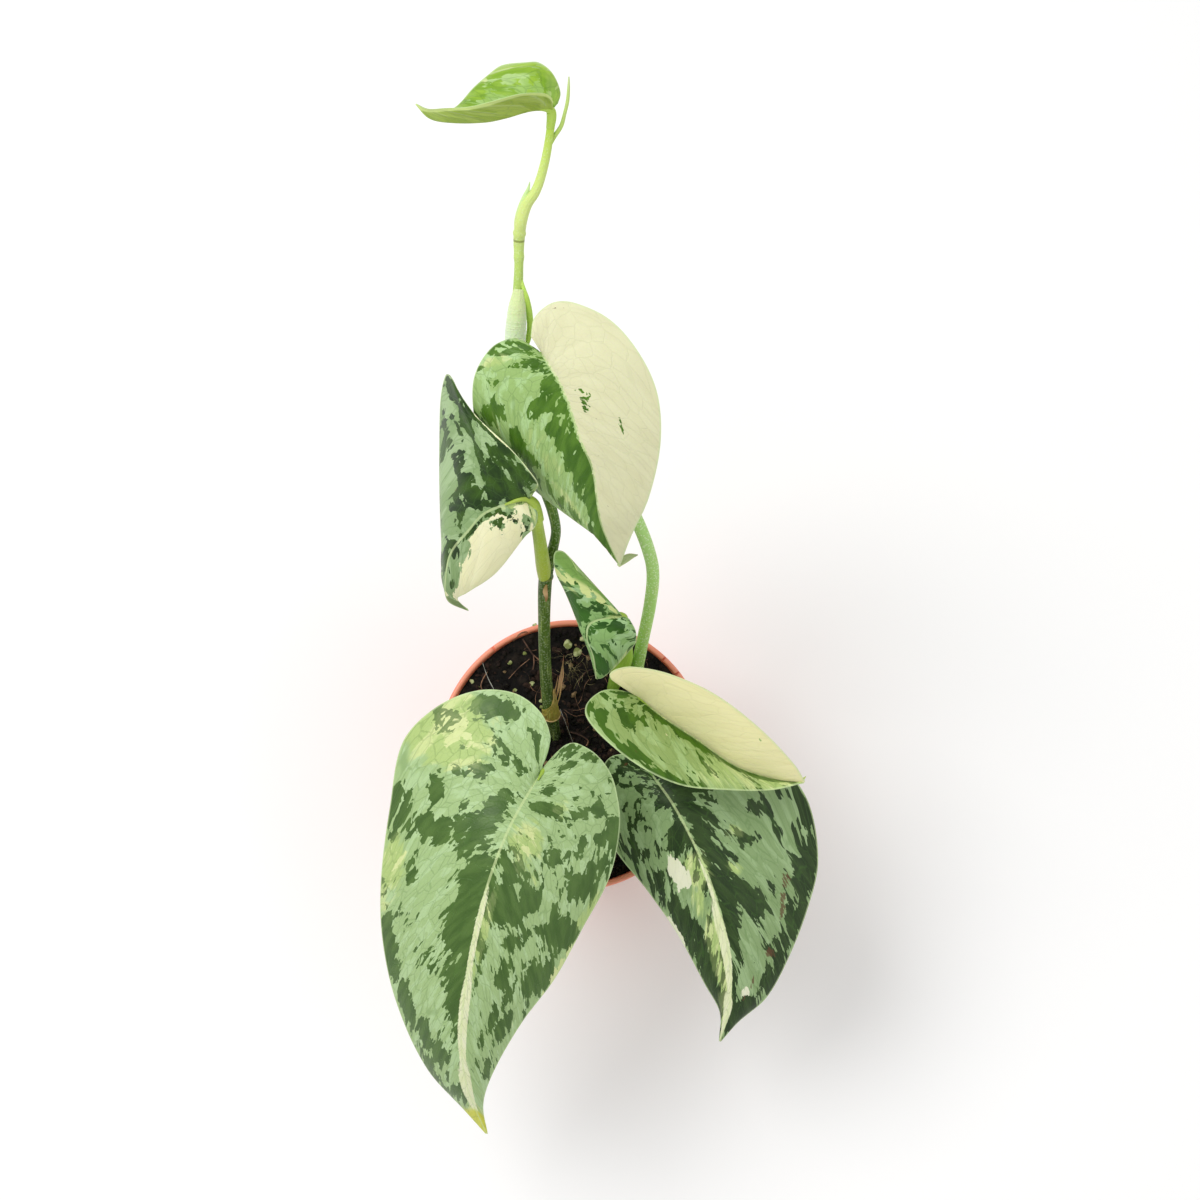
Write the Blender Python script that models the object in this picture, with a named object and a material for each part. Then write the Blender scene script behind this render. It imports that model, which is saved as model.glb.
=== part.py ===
# Satin pothos in its nursery pot.
# A young climbing aroid with seven heart-shaped blades: the vine leans back over the far rim and
# carries the upper leaves, and a second shoot and the lower leaves lean forward over the near rim.
# Frame: metres, +Z up, origin at the middle of the pot's base, -Y towards the front of the plant.
# Lists of route and outline points are in millimetres in that same frame.

import math
import random

import bmesh
import bpy
from mathutils import Vector, noise

MM = 0.001

# Driving dimensions, in millimetres
POT_RIM_RADIUS = 45.0
POT_BASE_RADIUS = 31.0
POT_HEIGHT = 75.0
POT_WALL = 1.0
POT_FLOOR = 1.5
COLLAR_HEIGHT = 11.0
COLLAR_STEP = 1.4
LIP_WIDTH = 1.6
DRAIN_HOLES = 8
DRAIN_HOLE_RADIUS = 3.5
DRAIN_CIRCLE_RADIUS = 21.0
SOIL_LEVEL = 70.5
SOIL_UNEVENNESS = 1.0
STEM_FOOT_DEPTH = 12.0
CLEARANCE = 0.3
BLADE_THICKNESS = 0.8

BLADE_ROWS = 20
BLADE_COLUMNS = 4
TUBE_SIDES = 10
ROUND_SEGMENTS = 48
NORMAL_PASSES = 10


for old in list(bpy.data.objects):
    bpy.data.objects.remove(old)


def material(name, colour, roughness):
    made = bpy.data.materials.new(name)
    made.use_nodes = True
    shader = made.node_tree.nodes["Principled BSDF"]
    shader.inputs["Base Color"].default_value = (*colour, 1.0)
    shader.inputs["Roughness"].default_value = roughness
    shader.inputs["Metallic"].default_value = 0.0
    return made


def add_object(name, built, finish, smooth=True):
    bmesh.ops.triangulate(built, faces=[f for f in built.faces if len(f.verts) > 4])
    bmesh.ops.recalc_face_normals(built, faces=built.faces)
    mesh = bpy.data.meshes.new(name)
    built.to_mesh(mesh)
    built.free()
    if smooth:
        mesh.shade_smooth()
        mesh.set_sharp_from_angle(angle=math.radians(40))
    mesh.materials.append(finish)
    made = bpy.data.objects.new(name, mesh)
    bpy.context.scene.collection.objects.link(made)
    return made


def spline(points, share):
    """The point at a share (0 to 1) of the way along a smooth curve through the given points."""
    knots = [Vector(p) for p in points]
    steps = [0.0]
    for before, after in zip(knots, knots[1:]):
        steps.append(steps[-1] + (after - before).length)
    distance = min(max(share, 0.0), 1.0) * steps[-1]
    k = 0
    while k < len(knots) - 2 and steps[k + 1] < distance:
        k += 1
    span = steps[k + 1] - steps[k]
    a = (distance - steps[k]) / span

    def slope(i):
        low = max(i - 1, 0)
        high = min(i + 1, len(knots) - 1)
        return (knots[high] - knots[low]) / (steps[high] - steps[low])

    start_weight = 2 * a**3 - 3 * a**2 + 1
    end_weight = 3 * a**2 - 2 * a**3
    start_pull = (a**3 - 2 * a**2 + a) * span
    end_pull = (a**3 - a**2) * span
    held = knots[k] * start_weight + knots[k + 1] * end_weight
    return held + slope(k) * start_pull + slope(k + 1) * end_pull


# Turned plastic pot

def pot_wall_radius(height):
    """Outer radius of the tapered wall below the collar."""
    slope = (POT_RIM_RADIUS - COLLAR_STEP - 0.6 - POT_BASE_RADIUS) / POT_HEIGHT
    return POT_BASE_RADIUS + slope * height


def pot_bore_radius(height):
    """Inner radius of the pot, stepped out inside the collar."""
    step = COLLAR_STEP if height > POT_HEIGHT - COLLAR_HEIGHT + 1.0 else 0.0
    return pot_wall_radius(height) - POT_WALL + step


def turned(profile, segments):
    """A closed solid turned from a profile of (radius, height) that starts and ends on the axis."""
    built = bmesh.new()
    rings = []
    for radius, height in profile:
        if radius == 0.0:
            rings.append([built.verts.new((0.0, 0.0, height * MM))])
            continue
        ring = []
        for k in range(segments):
            turn = 2 * math.pi * k / segments
            ring.append(built.verts.new((radius * math.cos(turn) * MM, radius * math.sin(turn) * MM, height * MM)))
        rings.append(ring)
    for lower, upper in zip(rings, rings[1:]):
        for k in range(segments):
            n = (k + 1) % segments
            corners = [lower[k % len(lower)], lower[n % len(lower)], upper[n % len(upper)], upper[k % len(upper)]]
            built.faces.new(list(dict.fromkeys(corners)))
    return built


def cylinder_cutter(name, places):
    """Upright round cutters in one object, from (x, y, radius, bottom, top)."""
    built = bmesh.new()
    sides = 14
    for x, y, radius, bottom, top in places:
        rings = []
        for height in (bottom, top):
            ring = []
            for k in range(sides):
                turn = 2 * math.pi * (k + 0.5) / sides
                ring.append(built.verts.new(((x + radius * math.cos(turn)) * MM,
                                             (y + radius * math.sin(turn)) * MM, height * MM)))
            rings.append(ring)
        built.faces.new(rings[0][::-1])
        built.faces.new(rings[1])
        for k in range(sides):
            n = (k + 1) % sides
            built.faces.new([rings[0][k], rings[0][n], rings[1][n], rings[1][k]])
    made = add_object(name, built, cutter_finish, smooth=False)
    made.hide_render = True
    made.display_type = "WIRE"
    return made


def cut(body, cutter):
    tool = body.modifiers.new("holes", "BOOLEAN")
    tool.operation = "DIFFERENCE"
    tool.object = cutter


cutter_finish = material("cutter", (0.5, 0.5, 0.5), 0.8)
terracotta_plastic = material("terracotta_plastic", (0.78, 0.19, 0.10), 0.5)
peat = material("peat", (0.020, 0.013, 0.009), 0.95)
leaf_green = material("leaf_green", (0.16, 0.30, 0.12), 0.45)
leaf_cream = material("leaf_cream", (0.75, 0.74, 0.42), 0.5)
young_green = material("young_green", (0.30, 0.50, 0.06), 0.4)
stem_green = material("stem_green", (0.12, 0.22, 0.04), 0.5)
petiole_green = material("petiole_green", (0.22, 0.42, 0.13), 0.55)
sheath_green = material("sheath_green", (0.55, 0.72, 0.45), 0.55)
dried_tan = material("dried_tan", (0.42, 0.27, 0.14), 0.9)


def build_pot():
    collar_foot = POT_HEIGHT - COLLAR_HEIGHT
    wall_top = pot_wall_radius(collar_foot)
    profile = [
        (0.0, 0.0),
        (POT_BASE_RADIUS - 1.0, 0.0),
        (POT_BASE_RADIUS, 0.8),
        (pot_wall_radius(collar_foot / 2), collar_foot / 2),
        (wall_top, collar_foot),
        (wall_top + COLLAR_STEP, collar_foot + 0.9),
        (POT_RIM_RADIUS - 0.7, POT_HEIGHT - 1.8),
        (POT_RIM_RADIUS, POT_HEIGHT - 1.2),
        (POT_RIM_RADIUS - 0.2, POT_HEIGHT),
        (POT_RIM_RADIUS - LIP_WIDTH, POT_HEIGHT),
        (pot_bore_radius(POT_HEIGHT - 1.6), POT_HEIGHT - 1.6),
        (pot_bore_radius(collar_foot + 2.2), collar_foot + 2.2),
        (pot_bore_radius(collar_foot + 0.8), collar_foot + 0.8),
        (pot_bore_radius(POT_FLOOR + 1.5), POT_FLOOR + 1.5),
        (pot_bore_radius(POT_FLOOR) - 1.5, POT_FLOOR),
        (0.0, POT_FLOOR),
    ]
    pot = add_object("pot", turned(profile, ROUND_SEGMENTS), terracotta_plastic)
    places = []
    for k in range(DRAIN_HOLES):
        turn = 2 * math.pi * (k + 0.5) / DRAIN_HOLES
        x = DRAIN_CIRCLE_RADIUS * math.cos(turn)
        y = DRAIN_CIRCLE_RADIUS * math.sin(turn)
        places.append((x, y, DRAIN_HOLE_RADIUS, -2.0, POT_FLOOR + 2.0))
    cut(pot, cylinder_cutter("drain_hole_cutter", places))


# Stems: each foot is (x, y, radius) where it stands in the soil, and each route goes on from there
# as (x, y, z, radius)

FEET = {
    "vine": (-6.0, 6.5, 2.0),
    "petiole_1": (-8.0, -11.5, 2.1),
    "petiole_2": (21.0, 0.0, 2.0),
    "petiole_3": (26.5, 14.5, 1.8),
    "petiole_5": (20.5, 22.0, 2.3),
    "petiole_6": (13.5, 22.5, 2.0),
}


def build_soil():
    random.seed(5)
    segments = ROUND_SEGMENTS
    rings = 8
    edge = pot_bore_radius(SOIL_LEVEL - SOIL_UNEVENNESS) - CLEARANCE
    built = bmesh.new()

    def ring(radius, height, bumps):
        made = []
        for k in range(segments):
            turn = 2 * math.pi * k / segments
            x = radius * math.cos(turn)
            y = radius * math.sin(turn)
            lift = SOIL_UNEVENNESS * noise.noise(Vector((x * 0.11, y * 0.11, 3.7))) * 1.6
            made.append(built.verts.new((x * MM, y * MM, (height + bumps * lift) * MM)))
        return made

    floor = POT_FLOOR + CLEARANCE
    collar_foot = POT_HEIGHT - COLLAR_HEIGHT
    stack = [ring(pot_bore_radius(floor + 1.5) - CLEARANCE - 1.6, floor, 0)]
    stack.append(ring(pot_bore_radius(floor + 1.5) - CLEARANCE, floor + 1.5, 0))
    stack.append(ring(pot_bore_radius(collar_foot + 0.8) - CLEARANCE, collar_foot + 0.95, 0))
    stack.append(ring(pot_bore_radius(collar_foot + 2.2) - CLEARANCE, collar_foot + 2.35, 0))
    for k in range(rings):
        share = 1.0 - k / rings
        stack.append(ring(edge * share, SOIL_LEVEL + 0.9 * (1.0 - share), 1))
    for lower, upper in zip(stack, stack[1:]):
        for k in range(segments):
            n = (k + 1) % segments
            built.faces.new([lower[k], lower[n], upper[n]])
            built.faces.new([lower[k], upper[n], upper[k]])
    for loop, height in ((stack[0], floor), (stack[-1], SOIL_LEVEL + 0.9)):
        middle = built.verts.new((0.0, 0.0, height * MM))
        for k in range(segments):
            built.faces.new([loop[k], loop[(k + 1) % segments], middle])
    soil = add_object("soil", built, peat)
    places = []
    for x, y, radius in FEET.values():
        bottom = SOIL_LEVEL - STEM_FOOT_DEPTH - CLEARANCE
        places.append((x, y, radius + 2 * CLEARANCE, bottom, SOIL_LEVEL + 6.0))
    cut(soil, cylinder_cutter("stem_hole_cutter", places))


def with_foot(name, route):
    """The route of a stem, from the bottom of its hole in the soil straight up and on."""
    x, y, radius = FEET[name]
    foot = [(x, y, SOIL_LEVEL - STEM_FOOT_DEPTH, radius), (x, y, SOIL_LEVEL - 5.0, radius),
            (x, y, SOIL_LEVEL + 1.5, radius)]
    return foot + route


def tube(route, rings, sides=TUBE_SIDES):
    """A round stem of changing thickness along a smooth route of (x, y, z, radius)."""
    built = bmesh.new()
    places = [p[:3] for p in route]
    lengths = [0.0]
    for before, after in zip(places, places[1:]):
        lengths.append(lengths[-1] + (Vector(after) - Vector(before)).length)
    loops = []
    across = Vector((1.0, 0.0, 0.0))
    for k in range(rings):
        share = k / (rings - 1)
        here = spline(places, share)
        ahead = (spline(places, share + 0.01) - spline(places, share - 0.01)).normalized()
        across = (across - ahead * across.dot(ahead)).normalized()
        upward = ahead.cross(across)
        distance = share * lengths[-1]
        j = 0
        while j < len(route) - 2 and lengths[j + 1] < distance:
            j += 1
        part = (distance - lengths[j]) / (lengths[j + 1] - lengths[j])
        radius = route[j][3] + (route[j + 1][3] - route[j][3]) * part
        loop = []
        for s in range(sides):
            turn = 2 * math.pi * s / sides
            point = here + (across * math.cos(turn) + upward * math.sin(turn)) * radius
            loop.append(built.verts.new(point * MM))
        loops.append(loop)
    for lower, upper in zip(loops, loops[1:]):
        for s in range(sides):
            n = (s + 1) % sides
            built.faces.new([lower[s], lower[n], upper[n], upper[s]])
    built.faces.new(loops[0][::-1])
    built.faces.new(loops[-1])
    return built


def join(body, name, branches):
    """Fuses stems that grew together into one body."""
    group = bpy.data.collections.new(name + "_branches")
    bpy.context.scene.collection.children.link(group)
    for branch in branches:
        bpy.context.scene.collection.objects.unlink(branch)
        group.objects.link(branch)
    union = body.modifiers.new("grown_together", "BOOLEAN")
    union.operation = "UNION"
    union.operand_type = "COLLECTION"
    union.collection = group
    settled = bpy.context.evaluated_depsgraph_get()
    grown = bpy.data.meshes.new_from_object(body.evaluated_get(settled))
    body.modifiers.remove(union)
    body.data = grown
    for branch in list(group.objects):
        bpy.data.objects.remove(branch)
    bpy.data.collections.remove(group)


def build_vine():
    stem = with_foot("vine", [
        (-6.4, 10.1, 79.0, 2.0), (-7.2, 13.5, 86.0, 2.4), (-8.0, 18.7, 94.0, 2.0),
        (-8.4, 26.8, 106.0, 1.9), (-8.3, 37.0, 122.0, 1.9), (-7.6, 46.5, 137.5, 2.2),
        (-6.6, 50.3, 142.5, 1.9), (-5.0, 55.0, 147.0, 1.6), (-4.1, 59.5, 151.0, 1.5),
        (-5.2, 64.8, 155.0, 1.6), (-7.2, 70.0, 159.0, 1.6), (-11.3, 84.9, 172.0, 1.6),
        (-14.6, 97.6, 180.0, 1.8), (-15.3, 108.4, 186.0, 1.6), (-14.2, 121.9, 193.0, 1.4),
        (-13.9, 127.7, 196.0, 1.3), (-13.8, 133.1, 199.0, 1.6), (-13.1, 137.0, 203.0, 1.7),
        (-11.6, 140.9, 206.0, 1.7), (-8.7, 144.1, 209.0, 1.4), (-6.4, 149.8, 213.0, 1.25),
        (-5.0, 155.5, 217.0, 1.15), (-4.0, 161.3, 221.6, 1.1)])
    vine = add_object("vine", tube(stem, 64), stem_green)
    leaf_stalk = [(-7.6, 45.0, 136.0, 1.9), (-8.0, 49.0, 144.0, 2.2), (-8.4, 52.5, 151.0, 2.1),
                  (-9.0, 56.5, 158.5, 1.9), (-9.6, 59.8, 165.0, 1.8), (-10.1, 61.9, 168.6, 1.7)]
    stalk = add_object("stalk_4", tube(leaf_stalk, 14), stem_green)
    spear = [(-5.6, 153.4, 215.6, 0.7), (-3.6, 156.4, 217.0, 0.6), (-1.6, 159.0, 218.5, 0.55),
             (-0.6, 162.0, 220.0, 0.5), (0.2, 165.0, 221.6, 0.5), (0.5, 168.0, 223.4, 0.4),
             (0.6, 170.5, 225.0, 0.3)]
    new_leaf = add_object("spear", tube(spear, 14, 6), stem_green)
    join(vine, "vine", [stalk, new_leaf])


def build_petioles():
    routes = {
        "petiole_1": (9, [(-8.0, -11.9, 90.0, 2.0), (-8.0, -12.2, 110.0, 1.9),
                          (-8.4, -11.9, 127.3, 1.8)]),
        "petiole_2": (9, [(21.6, -2.4, 82.0, 1.9), (22.8, -5.6, 92.0, 1.8), (24.4, -8.4, 103.0, 1.6)]),
        "petiole_3": (10, [(26.0, 14.3, 82.0, 1.7), (23.8, 14.0, 98.0, 1.6), (21.6, 13.8, 112.0, 1.6),
                           (20.4, 13.2, 124.6, 1.5)]),
        "petiole_5": (30, [(21.0, 26.0, 82.0, 2.2), (22.8, 34.0, 96.0, 2.0), (25.0, 44.0, 115.0, 2.0),
                           (25.4, 51.3, 130.0, 2.0), (23.2, 57.5, 140.5, 2.0), (19.3, 64.5, 150.5, 2.0),
                           (12.6, 74.6, 166.0, 1.9), (4.8, 85.2, 182.0, 1.8), (-2.2, 93.0, 194.5, 1.8),
                           (-6.5, 97.4, 203.0, 1.7)]),
        "petiole_6": (18, [(15.0, 25.6, 80.0, 2.6), (16.6, 28.8, 90.0, 3.0), (17.6, 31.6, 102.0, 2.0),
                           (17.4, 34.3, 118.0, 1.5), (16.3, 35.6, 133.2, 1.4)]),
    }
    for name, (rings, route) in routes.items():
        add_object(name, tube(with_foot(name, route), rings), petiole_green)


# Blades

def blade_sheet(midrib, left, right, crowns, pace):
    """Rows of points from the left edge over the midrib to the right edge, and the tip."""
    rows = []
    for r in range(BLADE_ROWS):
        along = r / BLADE_ROWS
        root = spline(midrib, along**pace)
        row = []
        for edge, crown, side in ((left, crowns[0], -1), (right, crowns[1], 1)):
            out = spline(edge, along)
            chord = out - root
            upward = Vector((0.0, 0.0, 1.0))
            upward = (upward - chord * (upward.dot(chord) / chord.length_squared)).normalized()
            half = []
            for c in range(1, BLADE_COLUMNS + 1):
                v = c / BLADE_COLUMNS
                half.append(root + chord * v + upward * (4 * v * (1 - v) * crown * chord.length))
            row = half[::-1] + [root] if side < 0 else row + half
        rows.append(row)
    return rows, Vector(midrib[-1])


def sheet_normals(rows, tip, passes):
    """Smoothed directions across the sheet, which give an even wall with no folds in it."""
    width = len(rows[0])
    padded = rows + [[tip] * width]
    normals = [[Vector() for _ in range(width)] for _ in range(len(padded))]
    for r in range(len(rows)):
        for c in range(width - 1):
            face = (padded[r + 1][c + 1] - padded[r][c]).cross(padded[r + 1][c] - padded[r][c + 1])
            for i, j in ((r, c), (r, c + 1), (r + 1, c), (r + 1, c + 1)):
                normals[i][j] += face
    end = sum(normals[-1], Vector())
    normals[-1] = [end.copy() for _ in range(width)]
    for row in normals:
        for n in row:
            n.normalize()
    for _ in range(passes):
        eased = []
        for r in range(len(padded)):
            line = []
            for c in range(width):
                near = normals[r][c] * 2
                for i, j in ((r - 1, c), (r + 1, c), (r, c - 1), (r, c + 1)):
                    if 0 <= i < len(padded) and 0 <= j < width:
                        near = near + normals[i][j]
                line.append(near.normalized())
            eased.append(line)
        normals = eased
    return normals


def build_blade(name, midrib, left, right, crowns, finish, pace=1.8):
    rows, tip = blade_sheet(midrib, left, right, crowns, pace)
    normals = sheet_normals(rows, tip, NORMAL_PASSES)
    tip_normal = sum(normals[-1], Vector()).normalized()
    width = len(rows[0])
    built = bmesh.new()
    skins = []
    for side in (0.5, -0.5):
        skin = []
        for r, row in enumerate(rows):
            skin.append([built.verts.new((p + normals[r][c] * (BLADE_THICKNESS * side)) * MM)
                         for c, p in enumerate(row)])
        end = built.verts.new((tip + tip_normal * (BLADE_THICKNESS * side)) * MM)
        skin.append([end] * width)
        skins.append(skin)
    for r in range(len(rows)):
        for c in range(width - 1):
            for skin in skins:
                corners = [skin[r][c], skin[r][c + 1], skin[r + 1][c + 1], skin[r + 1][c]]
                built.faces.new(list(dict.fromkeys([corners[0], corners[1], corners[2]])))
                if skin[r + 1][c] is not skin[r + 1][c + 1]:
                    built.faces.new([corners[0], corners[2], corners[3]])
    upper, lower = skins
    border = [(0, c) for c in range(width)]
    border += [(r, width - 1) for r in range(1, len(rows) + 1)]
    border += [(r, 0) for r in range(len(rows) - 1, 0, -1)]
    for k, (r, c) in enumerate(border):
        i, j = border[(k + 1) % len(border)]
        built.faces.new([upper[r][c], upper[i][j], lower[i][j]])
        built.faces.new([upper[r][c], lower[i][j], lower[r][c]])
    add_object(name, built, finish)


def build_blades():
    # The big front leaf, nearly level at its heart-shaped base and drooping to a long drip tip
    build_blade(
        "blade_1",
        midrib=[(-9, -11, 128), (-19, -30, 133), (-27, -53, 128), (-33, -83, 112), (-33, -104, 94),
                (-27, -123, 72)],
        left=[(-7.2, -5.8, 130), (-6, -0.5, 131), (-9, 7, 131), (-17, 13, 130), (-29, 14, 128),
              (-42, 9, 124), (-52, -1, 119), (-56, -20, 114), (-59, -42, 108), (-59, -60, 102),
              (-55, -80, 95), (-46, -101, 84), (-34, -115, 76), (-27, -123, 72)],
        right=[(-4.2, -7.1, 127.4), (-2.5, -3.5, 128), (1, -2, 128), (5, -3.5, 128), (8.5, -6, 127),
               (12, -10.5, 125.5), (14, -16, 124), (15.2, -26.5, 120), (12, -42, 115), (4, -57, 111), (-5, -73, 107), (-15, -86, 101),
               (-24, -101, 92), (-28, -112, 83), (-27, -123, 72)],
        crowns=(0.06, 0.07), finish=leaf_green)
    # The second front leaf, lower, its base under the folded leaf beside it
    build_blade(
        "blade_2",
        midrib=[(25, -9, 104), (32, -19, 106), (39, -32, 104), (45, -46, 99), (50, -64, 90),
                (51, -80, 80), (48, -94, 68)],
        left=[(22.5, -6.5, 104), (20, -4, 104), (15, -3, 103), (11, -5, 100), (8, -14, 97),
              (10, -25, 94), (15, -34, 92), (24, -45, 90), (34, -59, 86), (43, -75, 79),
              (48, -84, 74), (48, -94, 68)],
        right=[(26.5, -6, 105), (29, -1, 106), (36, 2, 106), (46, 2, 105), (57, 0, 102),
               (68, -7, 98), (76, -18, 94), (79, -36, 90), (76, -50, 87), (70, -66, 82),
               (63, -79, 77), (54, -87, 73), (48, -94, 68)],
        crowns=(0.05, 0.06), finish=leaf_green)
    # The half-moon leaf at the right, folded up along its midrib like a trough
    build_blade(
        "blade_3",
        midrib=[(20, 13, 126), (28, 7, 122), (39, 0, 119), (51, -8, 117), (64, -12, 114),
                (73, -13, 115)],
        left=[(17.4, 15.6, 130), (13, 16.4, 134), (12, 18, 136), (14, 19.4, 137), (19, 20, 138),
              (30, 18, 137), (44, 12, 135), (58, 2, 130), (69, -8, 121), (73, -13, 115)],
        right=[(17, 13.6, 127), (13, 14, 131), (9, 13, 133), (5, 9, 135), (5, 5, 135), (11, -2, 134),
               (22, -10, 131), (34, -15, 128), (47, -16, 124), (62, -15.5, 117), (73, -13, 115)],
        crowns=(0.06, 0.08), finish=leaf_cream)
    # The left leaf, its upper half rolled down and back at the outer edge
    build_blade(
        "blade_4",
        midrib=[(-11, 64, 172), (-14.5, 63, 175), (-24, 60, 173), (-29, 56, 168), (-35, 51, 158),
                (-37, 45, 150), (-37, 40, 140), (-31, 38, 133)],
        left=[(-10, 62.5, 172), (-9, 60, 170.5), (-10, 57, 167), (-13, 55, 163), (-22, 46, 153),
              (-31, 41.5, 145), (-34, 40.5, 141), (-31, 38, 133)],
        right=[(-9.6, 65.5, 177), (-8.6, 66.6, 181), (-10, 68.5, 184), (-16, 75, 188), (-25.5, 84, 189),
               (-30, 90, 189), (-33.3, 96.2, 188), (-35, 97.7, 185), (-37, 93, 177), (-38, 83, 167), (-38.5, 70, 158),
               (-38.5, 57, 149), (-38, 44, 139), (-31, 38, 133)],
        crowns=(0.08, 0.14), finish=leaf_green)
    # The half-moon leaf at the top, held up on the long stalk of the second shoot
    build_blade(
        "blade_5",
        midrib=[(-7, 98, 205), (-1, 88, 203), (4, 75, 196), (7, 69, 191), (9, 58, 178), (11, 53.5, 170),
                (15, 47, 159)],
        left=[(-10, 102, 208), (-9, 107, 209), (-4, 111, 210), (2, 111, 210),
              (12, 106, 210), (20, 97, 208), (25, 87, 203), (26, 75, 196), (23, 62, 185),
              (18, 53, 172), (15, 47, 159)],
        right=[(-12, 101.5, 203), (-15, 103, 203), (-21, 101, 201), (-26, 95, 195),
               (-27, 88, 187), (-25.5, 82, 178), (-20, 75.5, 171), (-13, 70.5, 167), (-6, 65, 166),
               (3, 58, 167), (8, 54, 168), (15, 47, 159)],
        crowns=(0.08, 0.12), finish=leaf_cream)
    # The small leaf, still half rolled, bent down between the vine and the long stalk
    build_blade(
        "blade_6",
        midrib=[(16, 36, 135), (10.5, 35, 137), (6, 33.5, 136), (5, 30, 132), (7, 25, 126), (8, 19, 118)],
        left=[(18, 35.4, 134), (20, 32, 131), (20, 29, 128), (18, 26.5, 126), (14, 22.5, 122),
              (10, 19.5, 118.5), (8, 19, 118)],
        right=[(2.2, 47.2, 151), (0.3, 50.4, 152.4),
               (-2, 52.6, 153), (-4.2, 52.8, 152), (-4.8, 50.5, 150), (-4, 47, 146), (-2, 43.5, 142),
               (0, 39.5, 138), (2, 35, 133), (4, 30.5, 128), (6, 26, 123), (8, 19, 118)],
        crowns=(0.12, 0.08), finish=leaf_green, pace=1.3)
    # The newest leaf at the end of the vine, pale and folded like a boat
    build_blade(
        "blade_7",
        midrib=[(-4, 162, 222), (-8, 161.5, 224), (-11, 161, 224), (-17, 160, 222), (-23, 160.5, 218),
                (-33, 163, 212), (-39, 166, 208), (-43, 171, 206)],
        left=[(-4, 163.4, 227), (-6, 163, 231), (-12, 162, 233), (-17, 161.6, 231), (-21, 161.8, 228),
              (-27, 163, 222), (-34, 165, 216.5), (-39, 167, 211.5), (-43, 171, 206)],
        right=[(-2.5, 164, 222), (-1.8, 167, 222), (-3, 171, 222), (-5, 174, 222), (-8, 176, 222),
               (-11, 176, 222), (-18, 176, 220), (-22, 173.5, 219), (-26, 171, 216.5), (-31, 168, 211),
               (-36, 167, 207.5), (-43, 171, 206)],
        crowns=(0.10, 0.10), finish=young_green)


# Sheaths: curled strips that wrap a stem

def build_wrap(name, route, finish):
    """A trough round a stem: route holds (x, y, z, radius, half angle in degrees) of its middle."""
    columns = 6
    steps = 12
    places = [p[:3] for p in route]
    rows = []
    for k in range(steps):
        share = k / (steps - 1)
        here = spline(places, share)
        ahead = (spline(places, share + 0.01) - spline(places, share - 0.01)).normalized()
        place = share * (len(route) - 1)
        j = min(int(place), len(route) - 2)
        part = place - j
        radius = route[j][3] + (route[j + 1][3] - route[j][3]) * part
        half = math.radians(route[j][4] + (route[j + 1][4] - route[j][4]) * part)
        upward = Vector((0.0, 0.0, 1.0))
        upward = (upward - ahead * upward.dot(ahead)).normalized()
        sideways = ahead.cross(upward)
        row = []
        for c in range(columns + 1):
            turn = half * (2 * c / columns - 1)
            row.append((here, upward * math.cos(turn) + sideways * math.sin(turn), radius))
        rows.append(row)
    built = bmesh.new()
    skins = []
    for wall in (0.0, 0.6):
        skins.append([[built.verts.new((p + n * (radius + wall)) * MM) for p, n, radius in row] for row in rows])
    for skin in skins:
        for r in range(steps - 1):
            for c in range(columns):
                built.faces.new([skin[r][c], skin[r][c + 1], skin[r + 1][c + 1]])
                built.faces.new([skin[r][c], skin[r + 1][c + 1], skin[r + 1][c]])
    border = [(0, c) for c in range(columns)] + [(r, columns) for r in range(steps - 1)]
    border += [(steps - 1, c) for c in range(columns, 0, -1)] + [(r, 0) for r in range(steps - 1, 0, -1)]
    inner, outer = skins
    for k, (r, c) in enumerate(border):
        i, j = border[(k + 1) % len(border)]
        built.faces.new([inner[r][c], inner[i][j], outer[i][j]])
        built.faces.new([inner[r][c], outer[i][j], outer[r][c]])
    add_object(name, built, finish)


def build_sheaths():
    build_wrap("pale_sheath", [
        (-14.3, 96.0, 179.2, 2.5, 95), (-15.2, 102.0, 182.6, 2.8, 95), (-15.2, 108.4, 186.0, 3.0, 95),
        (-14.6, 115.0, 189.6, 2.7, 85), (-14.0, 121.0, 192.5, 1.9, 45)], sheath_green)
    build_wrap("dried_sheath", [
        (-6.9, 12.2, 83.2, 2.8, 110), (-7.2, 13.7, 86.4, 2.9, 120), (-7.6, 16.2, 90.2, 2.6, 80),
        (-8.0, 19.2, 94.8, 2.5, 30)], dried_tan)


build_pot()
build_soil()
build_vine()
build_petioles()
build_blades()
build_sheaths()
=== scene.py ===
# Satin pothos in its nursery pot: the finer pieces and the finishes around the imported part.
# +Z up, origin under the middle of the pot, -Y towards the big front leaves. The sizes and the
# lists of points of the pot and the plant are in millimetres, the room and its camera in metres.

import math
import random

import bmesh
import bpy
import numpy as np
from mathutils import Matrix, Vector, noise


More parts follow.
